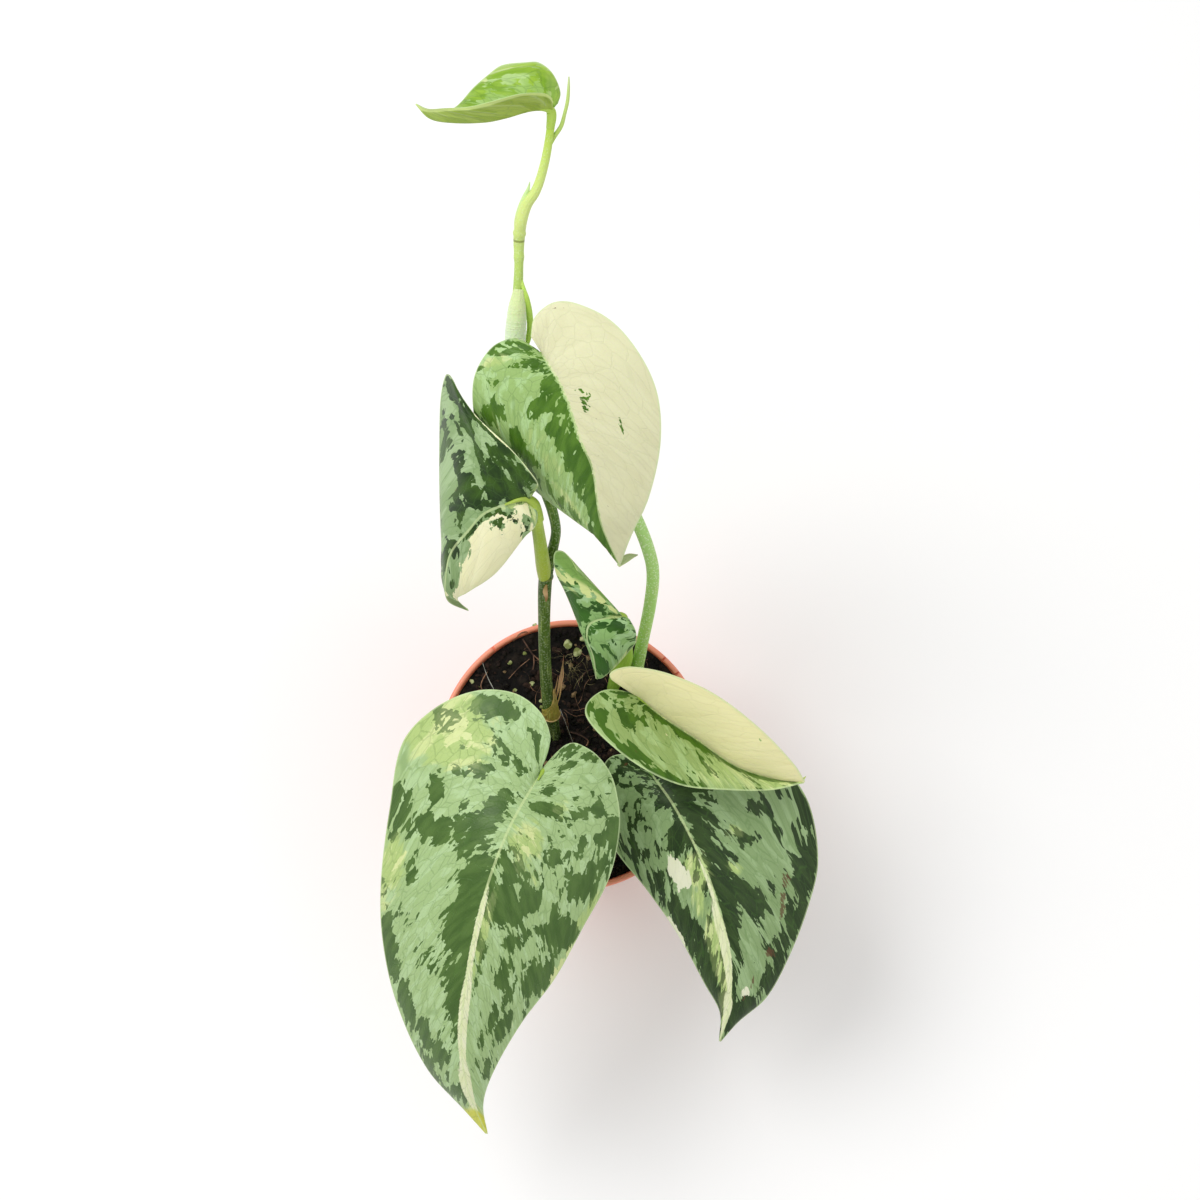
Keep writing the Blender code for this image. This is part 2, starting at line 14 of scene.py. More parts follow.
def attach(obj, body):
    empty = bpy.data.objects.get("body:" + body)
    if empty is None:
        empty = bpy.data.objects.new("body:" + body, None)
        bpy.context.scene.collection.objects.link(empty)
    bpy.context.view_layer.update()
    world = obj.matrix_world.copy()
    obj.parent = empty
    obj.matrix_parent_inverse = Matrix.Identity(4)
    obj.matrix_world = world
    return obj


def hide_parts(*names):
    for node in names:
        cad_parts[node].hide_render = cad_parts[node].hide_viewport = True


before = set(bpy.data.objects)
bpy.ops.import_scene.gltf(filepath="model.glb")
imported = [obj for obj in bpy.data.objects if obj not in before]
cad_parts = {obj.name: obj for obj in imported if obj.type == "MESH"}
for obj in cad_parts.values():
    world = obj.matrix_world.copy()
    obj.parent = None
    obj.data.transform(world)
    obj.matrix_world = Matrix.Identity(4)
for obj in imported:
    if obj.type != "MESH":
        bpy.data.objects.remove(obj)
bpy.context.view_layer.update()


# Nursery pot: thin coral-red plastic, injection moulded, with a stepped collar and a turned lip.
# It is turned from the section of its wall, and then the drain holes in its floor and the three
# narrow notches in its rim are cut.

MM = 0.001
RIM_RADIUS = 45.0
POT_HEIGHT = 75.0
POT_SECTION = [
    (0.0, 0.0), (29.6, 0.0), (30.4, 0.2), (30.9, 0.8), (35.9, 32.0), (41.2, 63.9), (41.6, 64.25),
    (42.4, 64.6), (42.7, 65.1), (44.3, 73.1), (44.75, 73.3), (45.0, 73.8), (44.95, 74.4),
    (44.6, 74.85), (44.2, 75.0), (43.7, 74.95), (43.3, 74.6), (43.14, 73.6), (42.0, 66.2),
    (40.4, 64.8), (30.5, 3.0), (30.1, 2.0), (28.7, 1.5), (0.0, 1.5)]
POT_SEGMENTS = 160
DRAIN_HOLES = 8
DRAIN_HOLE_RADIUS = 3.5
DRAIN_CIRCLE_RADIUS = 21.0
NOTCH_TURNS = (126.8, 46.2, 37.7)
NOTCH_WIDTH = 0.7
NOTCH_DEPTH = 1.1
NOTCH_LENGTH = 6.0
CUTTER_DEPTH = 8.0
# Heights in mm over which the top of the lip is painted paler: a painted highlight.
LIP_HIGHLIGHT_HEIGHTS = (73.7, 74.9)


def wire(tree, kind, inputs=None, **settings):
    """Adds a node, sets its properties, and fills or links its inputs."""
    made = tree.nodes.new(kind)
    for name, value in settings.items():
        setattr(made, name, value)
    for key, value in (inputs or {}).items():
        if isinstance(value, bpy.types.NodeSocket):
            tree.links.new(value, made.inputs[key])
        else:
            made.inputs[key].default_value = value
    return made


def blank_finish(name):
    made = bpy.data.materials.new(name)
    made.use_nodes = True
    return made, made.node_tree, made.node_tree.nodes["Principled BSDF"]


def coloured(tree, shader, colour, uniform):
    """Links the shader's colour and fills in its uniform values."""
    tree.links.new(colour, shader.inputs["Base Color"])
    for name, value in uniform.items():
        shader.inputs[name].default_value = value


def own_place(tree):
    return wire(tree, "ShaderNodeTexCoord").outputs["Object"]


def clouds(tree, where, scale, detail):
    return wire(tree, "ShaderNodeTexNoise", {"Vector": where, "Scale": scale, "Detail": detail}).outputs


def shade_between(tree, share, low, high):
    """The colour a share of the way from low to high."""
    mixed = wire(tree, "ShaderNodeMix", data_type="RGBA")
    for key, value in ((0, share), (6, low), (7, high)):
        if isinstance(value, bpy.types.NodeSocket):
            tree.links.new(value, mixed.inputs[key])
        else:
            mixed.inputs[key].default_value = (*value, 1.0) if isinstance(value, tuple) else value
    return mixed.outputs[2]


def sums(tree, operation, first, second=0.0, third=0.0):
    made = wire(tree, "ShaderNodeMath", {0: first, 1: second, 2: third}, operation=operation)
    return made.outputs[0]


def times(tree, first, second):
    return sums(tree, "MULTIPLY", first, second)


def soft_step(tree, value, low, high):
    """0 under low, 1 over high, and eased between them."""
    return wire(tree, "ShaderNodeMapRange", {0: value, 1: low, 2: high},
                interpolation_type="SMOOTHSTEP").outputs[0]


def raised(tree, shader, height, distance, strength=1.0):
    bump = wire(tree, "ShaderNodeBump", {"Height": height, "Distance": distance, "Strength": strength})
    tree.links.new(bump.outputs["Normal"], shader.inputs["Normal"])


def coral_plastic():
    made, tree, shader = blank_finish("coral_plastic")
    place = own_place(tree)
    height = wire(tree, "ShaderNodeSeparateXYZ", {0: place}).outputs["Z"]
    base = shade_between(tree, clouds(tree, place, 45.0, 3.0)["Fac"], (0.80, 0.165, 0.088),
                         (0.88, 0.245, 0.135))
    # Painted highlight: the top of the turned lip is painted paler towards its crown, where the light
    # falls on it.
    lip_highlight = soft_step(tree, height, LIP_HIGHLIGHT_HEIGHTS[0] * MM, LIP_HIGHLIGHT_HEIGHTS[1] * MM)
    base = shade_between(tree, times(tree, lip_highlight, 0.45), base, (0.92, 0.42, 0.28))
    coloured(tree, shader, base, {"Roughness": 0.42, "Subsurface Weight": 0.08,
                                  "Subsurface Radius": (0.004, 0.001, 0.0006)})
    raised(tree, shader, clouds(tree, place, 900.0, 2.0)["Fac"], 0.00008, 0.35)
    return made


def round_spot(radius, turn, height=0.0):
    """A point in metres, from millimetres out, radians round and millimetres up."""
    return (radius * math.cos(turn) * MM, radius * math.sin(turn) * MM, height * MM)


def skin_rings(built, rings):
    """Faces from each ring of corners to the next. A ring of one corner is a pole."""
    count = max(len(ring) for ring in rings)
    for lower, upper in zip(rings, rings[1:]):
        for k in range(count):
            n = (k + 1) % count
            corners = [lower[k % len(lower)], lower[n % len(lower)], upper[n % len(upper)],
                       upper[k % len(upper)]]
            built.faces.new(list(dict.fromkeys(corners)))


def turned(section, segments):
    """A closed solid turned from a section that starts and ends on the axis."""
    built = bmesh.new()
    rings = []
    for radius, height in section:
        turns = [2 * math.pi * k / segments for k in range(segments if radius else 1)]
        rings.append([built.verts.new(round_spot(radius, turn, height)) for turn in turns])
    skin_rings(built, rings)
    bmesh.ops.recalc_face_normals(built, faces=built.faces)
    return built


def in_scene(name, data):
    made = bpy.data.objects.new(name, data)
    bpy.context.scene.collection.objects.link(made)
    return made


def piece_from(name, built, finish, sharp=60.0):
    mesh = bpy.data.meshes.new(name)
    built.to_mesh(mesh)
    built.free()
    mesh.shade_smooth()
    mesh.set_sharp_from_angle(angle=math.radians(sharp))
    mesh.materials.append(finish)
    return in_scene(name, mesh)


def settle(piece):
    """Turns a piece's modifiers into plain mesh."""
    seen = piece.evaluated_get(bpy.context.evaluated_depsgraph_get())
    plain = bpy.data.meshes.new_from_object(seen)
    piece.modifiers.clear()
    piece.data = plain


def pot_cutters():
    built = bmesh.new()
    for k in range(DRAIN_HOLES):
        turn = 2 * math.pi * (k + 0.5) / DRAIN_HOLES
        hole = bmesh.ops.create_cone(built, cap_ends=True, segments=32, radius1=DRAIN_HOLE_RADIUS * MM,
                                     radius2=DRAIN_HOLE_RADIUS * MM, depth=CUTTER_DEPTH * MM)
        bmesh.ops.translate(built, verts=hole["verts"], vec=round_spot(DRAIN_CIRCLE_RADIUS, turn))
    for degrees in NOTCH_TURNS:
        turn = math.radians(degrees)
        out = Vector((math.cos(turn), math.sin(turn), 0.0))
        side = Vector((-math.sin(turn), math.cos(turn), 0.0))
        notch = bmesh.ops.create_cube(built, size=1.0)
        for v in notch["verts"]:
            spot = out * (RIM_RADIUS + v.co.x * NOTCH_LENGTH) + side * (v.co.y * NOTCH_WIDTH)
            spot.z = POT_HEIGHT + v.co.z * 2 * NOTCH_DEPTH
            v.co = spot * MM
    return built


plastic = coral_plastic()
pot = piece_from("nursery_pot", turned(POT_SECTION, POT_SEGMENTS), plastic, 40.0)
cutters = piece_from("pot_cutters", pot_cutters(), plastic, 40.0)
cut = pot.modifiers.new("cut", "BOOLEAN")
cut.operation = "DIFFERENCE"
cut.object = cutters
settle(pot)
bpy.data.objects.remove(cutters)
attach(pot, "root")
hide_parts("pot")


# Soil: dark, moist peat, filled to 5 mm under the rim and left rough, with crumbs, a few pale
# granules and bits of root on it. The body of it is one closed lump with uneven ground on top,
# and the crumbs are scattered over that ground.

SOIL_LEVEL = 70.5
SOIL_RADIUS = 42.2
SOIL_SIDES = [(28.4, 1.8), (30.2, 3.3), (40.0, 65.0), (41.6, 66.4)]
WALL_FOOT_HEIGHT = 66.2
WALL_FOOT_RADIUS = 41.85
WALL_LEAN = 0.154
GROUND_RINGS = 70
GROUND_SEGMENTS = 200
CRUMBS_PER_SQUARE_METRE = 330000.0
CRUMB_SIZES = (0.3, 1.25)
CRUMB_REACH = 41.8
LEAST_UPWARD = 0.35
GRANULES = [(-12.8, 43.0, 0.8), (-16.1, 33.9, 0.6), (-21.1, 30.8, 0.7), (-33.7, 24.4, 0.7),
            (-19.3, 21.7, 0.6), (-13.7, 23.7, 0.9), (-31.4, 22.7, 0.4), (3.4, 39.0, 1.0),
            (-1.6, 36.9, 1.3), (1.4, 34.5, 1.4), (-24.0, 14.0, 0.6), (8.0, 12.0, 0.5),
            (14.0, 6.0, 0.5), (2.0, -3.0, 0.4), (-10.6, 18.2, 0.7), (-10.4, 16.0, 0.6)]
ROOT_THREADS = [
    (0.24, [(-16.8, 38.6, 0.6), (-15.1, 35.9, 1.5), (-13.4, 33.5, 1.4), (-11.0, 31.5, 0.5)]),
    (0.20, [(-13.2, 33.3, 1.3), (-13.0, 30.4, 1.2), (-13.6, 27.5, 0.3)]),
    (0.24, [(-1.6, 7.6, 0.6), (1.8, 6.6, 1.6), (5.1, 4.6, 1.7), (4.6, 3.0, 0.6)]),
    (0.18, [(-28.5, 27.8, 0.4), (-30.0, 25.0, 1.4), (-30.6, 22.6, 1.2), (-29.2, 20.0, 0.3)]),
    (0.22, [(-20.0, 38.0, 0.5), (-17.0, 40.5, 1.6), (-13.5, 41.0, 0.5)]),
    (0.12, [(-21.5, 25.5, 0.4), (-18.0, 29.0, 1.3), (-14.0, 32.5, 0.4)]),
    (0.16, [(-34.0, 20.0, 0.5), (-31.0, 21.5, 1.3), (-27.5, 20.5, 0.5)])]
PALE_THREADS = [
    (0.11, [(-30.5, 31.8, 0.5), (-29.4, 28.4, 1.3), (-28.1, 25.1, 1.4), (-26.3, 21.7, 0.5)]),
    (0.07, [(-4.2, 15.3, 0.5), (-1.9, 9.3, 1.6), (0.8, 2.2, 0.6)])]
LOOSE_THREADS = 90
MOSS_MIDDLE = (0.4, 28.5)
MOSS_THREADS = 34
THREAD_REACH = 40.5
GRANULE_SHAPE = (1.1, 0.95, 0.7)
GRANULE_RISE = 0.35


def way_along(route):
    """Millimetres along a route at each of its points."""
    knots = np.array(route, float)[:, :3]
    return np.concatenate([[0.0], np.cumsum(np.linalg.norm(np.diff(knots, axis=0), axis=1))])


def spline(points, shares):
    """Points at shares (0 to 1) of the length of a smooth curve through the given points."""
    knots = np.array(points, float)
    steps = way_along(knots)
    slopes = np.empty_like(knots)
    slopes[1:-1] = (knots[2:] - knots[:-2]) / (steps[2:] - steps[:-2])[:, None]
    slopes[0] = (knots[1] - knots[0]) / (steps[1] - steps[0])
    slopes[-1] = (knots[-1] - knots[-2]) / (steps[-1] - steps[-2])
    distance = np.clip(np.atleast_1d(shares), 0.0, 1.0) * steps[-1]
    k = np.clip(np.searchsorted(steps, distance, side="left") - 1, 0, len(knots) - 2)
    span = steps[k + 1] - steps[k]
    a = ((distance - steps[k]) / span)[:, None]
    span = span[:, None]
    return (knots[k] * (2 * a**3 - 3 * a**2 + 1) + knots[k + 1] * (3 * a**2 - 2 * a**3)
            + slopes[k] * (a**3 - 2 * a**2 + a) * span + slopes[k + 1] * (a**3 - a**2) * span)


def tube(route, rings, sides, swell=None, built=None, squash=1.0):
    """A round stem along a smooth route of (x, y, z, radius). Its skin is mapped in tenths of a metre."""
    built = built or bmesh.new()
    skin = built.loops.layers.uv.get("skin_map") or built.loops.layers.uv.new("skin_map")
    length = way_along(route)[-1]
    shares = np.linspace(0.0, 1.0, rings)
    spots = spline(route, shares)
    ahead = np.gradient(spots[:, :3], axis=0)
    across = Vector((1.0, 0.0, 0.0))
    loops = []
    for k in range(rings):
        forward = Vector(ahead[k]).normalized()
        across = (across - forward * across.dot(forward)).normalized()
        upward = forward.cross(across)
        radius = spots[k, 3] + (swell(spots[k]) if swell else 0.0)
        loop = []
        for s in range(sides):
            turn = 2 * math.pi * s / sides
            out = across * math.cos(turn) + upward * (squash * math.sin(turn))
            loop.append(built.verts.new((Vector(spots[k, :3]) + out * radius) * MM))
        loops.append(loop)
    girth = 2 * math.pi * float(np.mean(spots[:, 3]))
    for k in range(rings - 1):
        for s in range(sides):
            n = (s + 1) % sides
            face = built.faces.new([loops[k][s], loops[k][n], loops[k + 1][n], loops[k + 1][s]])
            turns = (s, s + 1, s + 1, s)
            heights = (k, k, k + 1, k + 1)
            for corner, turn, height in zip(face.loops, turns, heights):
                corner[skin].uv = (turn / sides * girth / 100, shares[height] * length / 100)
    built.faces.new(loops[0][::-1])
    built.faces.new(loops[-1])
    return built


def peat_finish():
    made, tree, shader = blank_finish("moist_peat")
    coarse = wire(tree, "ShaderNodeTexNoise", {"Vector": own_place(tree), "Scale": 190.0, "Detail": 7.0,
                                               "Roughness": 0.75})
    wet = shade_between(tree, soft_step(tree, coarse.outputs["Fac"], 0.42, 0.72),
                        (0.0030, 0.0022, 0.0018), (0.027, 0.018, 0.013))
    draw = wire(tree, "ShaderNodeAttribute", attribute_name="draw").outputs["Fac"]
    brown = shade_between(tree, times(tree, soft_step(tree, draw, 0.5, 0.9), 0.6), wet,
                          (0.060, 0.030, 0.020))
    tan = shade_between(tree, times(tree, soft_step(tree, draw, 0.955, 0.96), 0.8), brown,
                        (0.32, 0.21, 0.105))
    coloured(tree, shader, tan, {"Roughness": 0.85, "Specular IOR Level": 0.25})
    raised(tree, shader, coarse.outputs["Fac"], 0.0014)
    return made


def granule_finish():
    made, tree, shader = blank_finish("pale_granule")
    cloud = clouds(tree, own_place(tree), 420.0, 3.0)["Fac"]
    colour = shade_between(tree, soft_step(tree, cloud, 0.38, 0.62), (0.20, 0.23, 0.06),
                           (0.52, 0.55, 0.27))
    coloured(tree, shader, colour, {"Roughness": 0.85})
    raised(tree, shader, cloud, 0.0004)
    return made


def thread_finish(name, low, high):
    made, tree, shader = blank_finish(name)
    cloud = clouds(tree, own_place(tree), 230.0, 2.0)["Fac"]
    colour = shade_between(tree, soft_step(tree, cloud, 0.35, 0.65), low, high)
    coloured(tree, shader, colour, {"Roughness": 0.8})
    return made


def ground_height(x, y):
    """Millimetres up to the uneven ground, which lies higher at the wall, most at the back."""
    reach = math.hypot(x, y) / SOIL_RADIUS
    spot = Vector((x, y, 4.0))
    lumps = (1.3 * noise.noise(spot * 0.11) + 0.9 * noise.noise(spot * 0.31)
             + 0.45 * noise.noise(spot * 0.9))
    bank = (1.7 + 0.7 * y / SOIL_RADIUS) * reach**5
    return SOIL_LEVEL + 0.9 * (1.0 - reach) + lumps * (1.0 - 0.7 * min(reach, 1.0)**8) + bank


def ground_lump():
    built = bmesh.new()
    turns = [2 * math.pi * k / GROUND_SEGMENTS for k in range(GROUND_SEGMENTS)]
    rings = [[built.verts.new(round_spot(radius, turn, height)) for turn in turns]
             for radius, height in SOIL_SIDES]
    edges = []
    for turn in turns:
        height = ground_height(SOIL_RADIUS * math.cos(turn), SOIL_RADIUS * math.sin(turn))
        edges.append(WALL_FOOT_RADIUS + WALL_LEAN * (height - WALL_FOOT_HEIGHT))
    for step in range(GROUND_RINGS):
        ring = []
        for turn, edge in zip(turns, edges):
            x = edge * (1.0 - step / GROUND_RINGS) * math.cos(turn)
            y = edge * (1.0 - step / GROUND_RINGS) * math.sin(turn)
            ring.append(built.verts.new((x * MM, y * MM, ground_height(x, y) * MM)))
        rings.append(ring)
    skin_rings(built, rings)
    for ring, height in ((rings[0], SOIL_SIDES[0][1]), (rings[-1], ground_height(0, 0))):
        skin_rings(built, [ring, [built.verts.new((0.0, 0.0, height * MM))]])
    bmesh.ops.recalc_face_normals(built, faces=built.faces)
    return built


def drawn_between(tree, low, high, seed):
    """A random vector, or a random number where low isn't a vector."""
    kind, first, out = ("FLOAT_VECTOR", 0, 0) if isinstance(low, tuple) else ("FLOAT", 2, 1)
    return wire(tree, "FunctionNodeRandomValue", {first: low, first + 1: high, "Seed": seed},
                data_type=kind).outputs[out]


def crumb_tree(finish):
    """Scatters small lumps over the faces that look up, and keeps only the lumps."""
    tree = bpy.data.node_groups.new("peat_crumbs", "GeometryNodeTree")
    named = {}
    tree.interface.new_socket("Ground", in_out="INPUT", socket_type="NodeSocketGeometry")
    for name in ("Density", "Smallest", "Largest"):
        named[name] = tree.interface.new_socket(name, in_out="INPUT", socket_type="NodeSocketFloat")
    tree.interface.new_socket("Crumbs", in_out="OUTPUT", socket_type="NodeSocketGeometry")
    given = tree.nodes.new("NodeGroupInput")
    facing = tree.nodes.new("GeometryNodeInputNormal").outputs[0]
    rise = wire(tree, "ShaderNodeSeparateXYZ", {0: facing}).outputs["Z"]
    upward = wire(tree, "FunctionNodeCompare", {0: rise, 1: LEAST_UPWARD}, operation="GREATER_THAN")
    here = tree.nodes.new("GeometryNodeInputPosition").outputs[0]
    flat = wire(tree, "ShaderNodeVectorMath", {0: here, 1: (1.0, 1.0, 0.0)}, operation="MULTIPLY")
    away = wire(tree, "ShaderNodeVectorMath", {0: flat.outputs[0]}, operation="LENGTH").outputs["Value"]
    inside = wire(tree, "FunctionNodeCompare", {0: away, 1: CRUMB_REACH * MM}, operation="LESS_THAN")
    chosen = wire(tree, "FunctionNodeBooleanMath", {0: upward.outputs[0], 1: inside.outputs[0]},
                  operation="AND")
    spots = wire(tree, "GeometryNodeDistributePointsOnFaces",
                 {"Mesh": given.outputs["Ground"], "Selection": chosen.outputs[0],
                  "Density": given.outputs["Density"], "Seed": 12})
    ball = wire(tree, "GeometryNodeMeshIcoSphere", {"Radius": 1.0, "Subdivisions": 2})
    rough = wire(tree, "ShaderNodeTexNoise", {"Vector": here, "Scale": 1.6, "Detail": 2.0})
    shift = wire(tree, "ShaderNodeVectorMath", {0: rough.outputs["Color"], 1: (0.5, 0.5, 0.5)},
                 operation="SUBTRACT")
    push = wire(tree, "ShaderNodeVectorMath", {0: shift.outputs[0], "Scale": 1.7}, operation="SCALE")
    lump = wire(tree, "GeometryNodeSetPosition",
                {"Geometry": ball.outputs["Mesh"], "Offset": push.outputs[0]})
    turn = drawn_between(tree, (0.0, 0.0, 0.0), (6.28, 6.28, 6.28), 3)
    size = drawn_between(tree, given.outputs["Smallest"], given.outputs["Largest"], 5)
    stretch = drawn_between(tree, (0.6, 0.6, 0.5), (1.5, 1.2, 1.0), 7)
    scale = wire(tree, "ShaderNodeVectorMath", {0: stretch, "Scale": size}, operation="SCALE")
    placed = wire(tree, "GeometryNodeInstanceOnPoints",
                  {"Points": spots.outputs["Points"], "Instance": lump.outputs[0],
                   "Rotation": turn, "Scale": scale.outputs[0]})
    drawn = wire(tree, "GeometryNodeStoreNamedAttribute",
                 {"Geometry": placed.outputs[0], "Name": "draw",
                  "Value": drawn_between(tree, 0.0, 1.0, 9)}, data_type="FLOAT", domain="INSTANCE")
    real = wire(tree, "GeometryNodeRealizeInstances", {0: drawn.outputs[0]})
    faceted = wire(tree, "GeometryNodeSetShadeSmooth",
                   {"Geometry": real.outputs[0], "Shade Smooth": False})
    finished = wire(tree, "GeometryNodeSetMaterial",
                    {"Geometry": faceted.outputs[0], "Material": finish})
    out = tree.nodes.new("NodeGroupOutput")
    tree.links.new(finished.outputs[0], out.inputs[0])
    return tree, named


peat = peat_finish()
soil = piece_from("peat_ground", ground_lump(), peat)
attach(soil, "root")
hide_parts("soil")

crumbs = piece_from("peat_crumbs", ground_lump(), peat)
scatter = crumbs.modifiers.new("scatter", "NODES")
scatter.node_group, crumb_inputs = crumb_tree(peat)
scatter[crumb_inputs["Density"].identifier] = CRUMBS_PER_SQUARE_METRE
scatter[crumb_inputs["Smallest"].identifier] = CRUMB_SIZES[0] * MM
scatter[crumb_inputs["Largest"].identifier] = CRUMB_SIZES[1] * MM
settle(crumbs)
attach(crumbs, "root")

random.seed(8)
grains = bmesh.new()
for x, y, radius in GRANULES:
    ball = bmesh.ops.create_icosphere(grains, subdivisions=3, radius=1.0)
    turn = random.uniform(0, 3)
    for v in ball["verts"]:
        push = 1.0 + 0.45 * noise.noise(v.co * 1.3 + Vector((x, y, 0.0)))
        v.co = v.co * Vector(GRANULE_SHAPE) * push * radius
        v.co = Vector((v.co.x * math.cos(turn) - v.co.y * math.sin(turn),
                       v.co.x * math.sin(turn) + v.co.y * math.cos(turn), v.co.z))
        v.co = (v.co + Vector((x, y, ground_height(x, y) + GRANULE_RISE * radius))) * MM
granules = piece_from("pale_granules", grains, granule_finish())
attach(granules, "root")


def lay_threads(name, routes, loose, middle, spread, finish):
    """Threads along given routes, and more of them laid at random round a middle."""
    built = bmesh.new()
    for radius, route in routes:
        laid = [(x, y, ground_height(x, y) + lift, radius) for x, y, lift in route]
        tube(laid, 40, 8, built=built, swell=lambda spot: 0.06 * noise.noise(Vector(spot[:3])))
    for _ in range(loose):
        away = spread * math.sqrt(random.random())
        turn = random.uniform(0, 2 * math.pi)
        x, y = middle[0] + away * math.cos(turn), middle[1] + away * math.sin(turn)
        heading = random.uniform(0, 2 * math.pi)
        stride = random.uniform(0.5, 1.7) * (1 + spread / 40)
        radius = random.uniform(0.03, 0.09) * min(1.0, 0.4 + spread / 40)
        laid = []
        for step in range(5):
            lift = 0.2 + 1.3 * math.sin(step * math.pi / 4)
            laid.append((x, y, ground_height(x, y) + lift, radius))
            heading += random.uniform(-0.7, 0.7)
            x, y = x + stride * math.cos(heading), y + stride * math.sin(heading)
            if math.hypot(x, y) > THREAD_REACH:
                heading += math.pi
                x, y = x * 0.95, y * 0.95
        tube(laid, 14, 5, built=built)
    made = piece_from(name, built, finish)
    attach(made, "root")


lay_threads("root_threads", ROOT_THREADS, LOOSE_THREADS, (0.0, 0.0), 39.5,
            thread_finish("brown_root", (0.050, 0.022, 0.014), (0.33, 0.17, 0.10)))
lay_threads("pale_threads", PALE_THREADS, 0, (0.0, 0.0), 0.0,
            thread_finish("white_root", (0.24, 0.24, 0.21), (0.46, 0.45, 0.40)))
lay_threads("dry_moss", [], MOSS_THREADS, MOSS_MIDDLE, 6.0,
            thread_finish("dry_moss", (0.13, 0.10, 0.030), (0.46, 0.40, 0.20)))


# Main vine: a round green stem with rings at its nodes, paler towards its young end. It stands in
# the soil, leans back, and ends in the stalk of the newest leaf. The stalk of the left leaf and the
# tan scar of an older leaf sit on its second node, and a thin new spear leaves it at the top.

FOOT_HEIGHTS = (58.5, 65.5, 72.0)


def rooted(x, y, radius, route):
    """A route that comes straight up out of the soil and then goes on."""
    return [(x, y, height, radius) for height in FOOT_HEIGHTS] + route


VINE_ROUTE = rooted(-6.0, 6.5, 2.0, [
    (-6.4, 10.1, 79.0, 2.0), (-7.2, 13.5, 86.0, 2.3), (-8.0, 18.7, 94.0, 2.0), (-8.4, 26.8, 106.0, 1.9),
    (-8.3, 37.0, 122.0, 1.9), (-7.6, 46.5, 137.5, 2.1), (-6.6, 50.3, 142.5, 1.9),
    (-5.0, 55.0, 147.0, 1.6), (-4.1, 59.5, 151.0, 1.5), (-5.2, 64.8, 155.0, 1.6),
    (-7.2, 70.0, 159.0, 1.6), (-11.3, 84.9, 172.0, 1.6), (-14.6, 97.6, 180.0, 1.8),
    (-15.3, 108.4, 186.0, 1.6), (-14.2, 121.9, 193.0, 1.4), (-13.9, 127.7, 196.0, 1.3),
    (-13.8, 133.1, 199.0, 1.6), (-13.1, 137.0, 203.0, 1.7), (-11.6, 140.9, 206.0, 1.7),
    (-8.7, 144.1, 209.0, 1.4), (-6.4, 149.8, 213.0, 1.25), (-5.0, 155.5, 217.0, 1.15),
    (-4.0, 161.3, 221.6, 1.1)])
LEFT_STALK_ROUTE = [
    (-7.7, 47.6, 139.4, 2.1), (-8.0, 49.6, 144.0, 2.25), (-8.4, 52.5, 151.0, 2.1),
    (-9.0, 56.5, 158.5, 1.9), (-9.6, 59.8, 165.0, 1.8), (-10.1, 61.9, 168.6, 1.7)]
SPEAR_ROUTE = [
    (-5.6, 153.4, 215.6, 0.7), (-3.6, 156.4, 217.0, 0.65), (-1.6, 159.0, 218.5, 0.6),
    (-0.6, 162.0, 220.0, 0.5), (0.2, 165.0, 221.6, 0.5), (0.5, 168.0, 223.4, 0.4),
    (0.6, 170.5, 225.0, 0.2)]
SCAR_ROUTE = [(-7.2, 45.0, 139.2, 0.3), (-7.6, 43.4, 137.0, 0.75), (-7.3, 41.9, 134.4, 0.5),
              (-7.5, 41.0, 132.8, 0.2)]
NODE_RINGS = [(86.0, 0.35, 0.6), (139.3, 0.35, 0.5), (159.0, 0.25, 0.5), (196.6, 0.2, 0.4),
              (200.4, 0.28, 0.4)]
SCAR_LINE_HEIGHTS = (139.3, 159.0, 199.0)
SCAR_LINE_TONE = (116, 122, 54)
STREAK_SCALE = (160.0, 9.0, 1.0)
STREAK_TONE = (196, 216, 122)
DOTS_PER_METRE = 1250.0
DOT_TONE = (228, 242, 200)


def tint(red, green, blue):
    """A colour given in the 0 to 255 of a paint chart."""
    return tuple(((v / 255 + 0.055) / 1.055)**2.4 if v > 10 else v / 255 / 12.92
                 for v in (red, green, blue))


def tones(tree, share, pair):
    """A share of the way between two colours of the paint chart."""
    return shade_between(tree, share, tint(*pair[0]), tint(*pair[1]))


def cells(tree, where, scale, **settings):
    return wire(tree, "ShaderNodeTexVoronoi", {"Vector": where, "Scale": scale}, **settings).outputs


def colour_steps(tree, value, steps):
    """Colours of the paint chart at given values, blended in between."""
    ramp = wire(tree, "ShaderNodeValToRGB", {0: value})
    ramp.color_ramp.interpolation = "EASE"
    while len(ramp.color_ramp.elements) < len(steps):
        ramp.color_ramp.elements.new(0.5)
    for element, (at, colour) in zip(ramp.color_ramp.elements, steps):
        element.position = at
        element.color = (*tint(*colour), 1.0)
    return ramp.outputs[0]


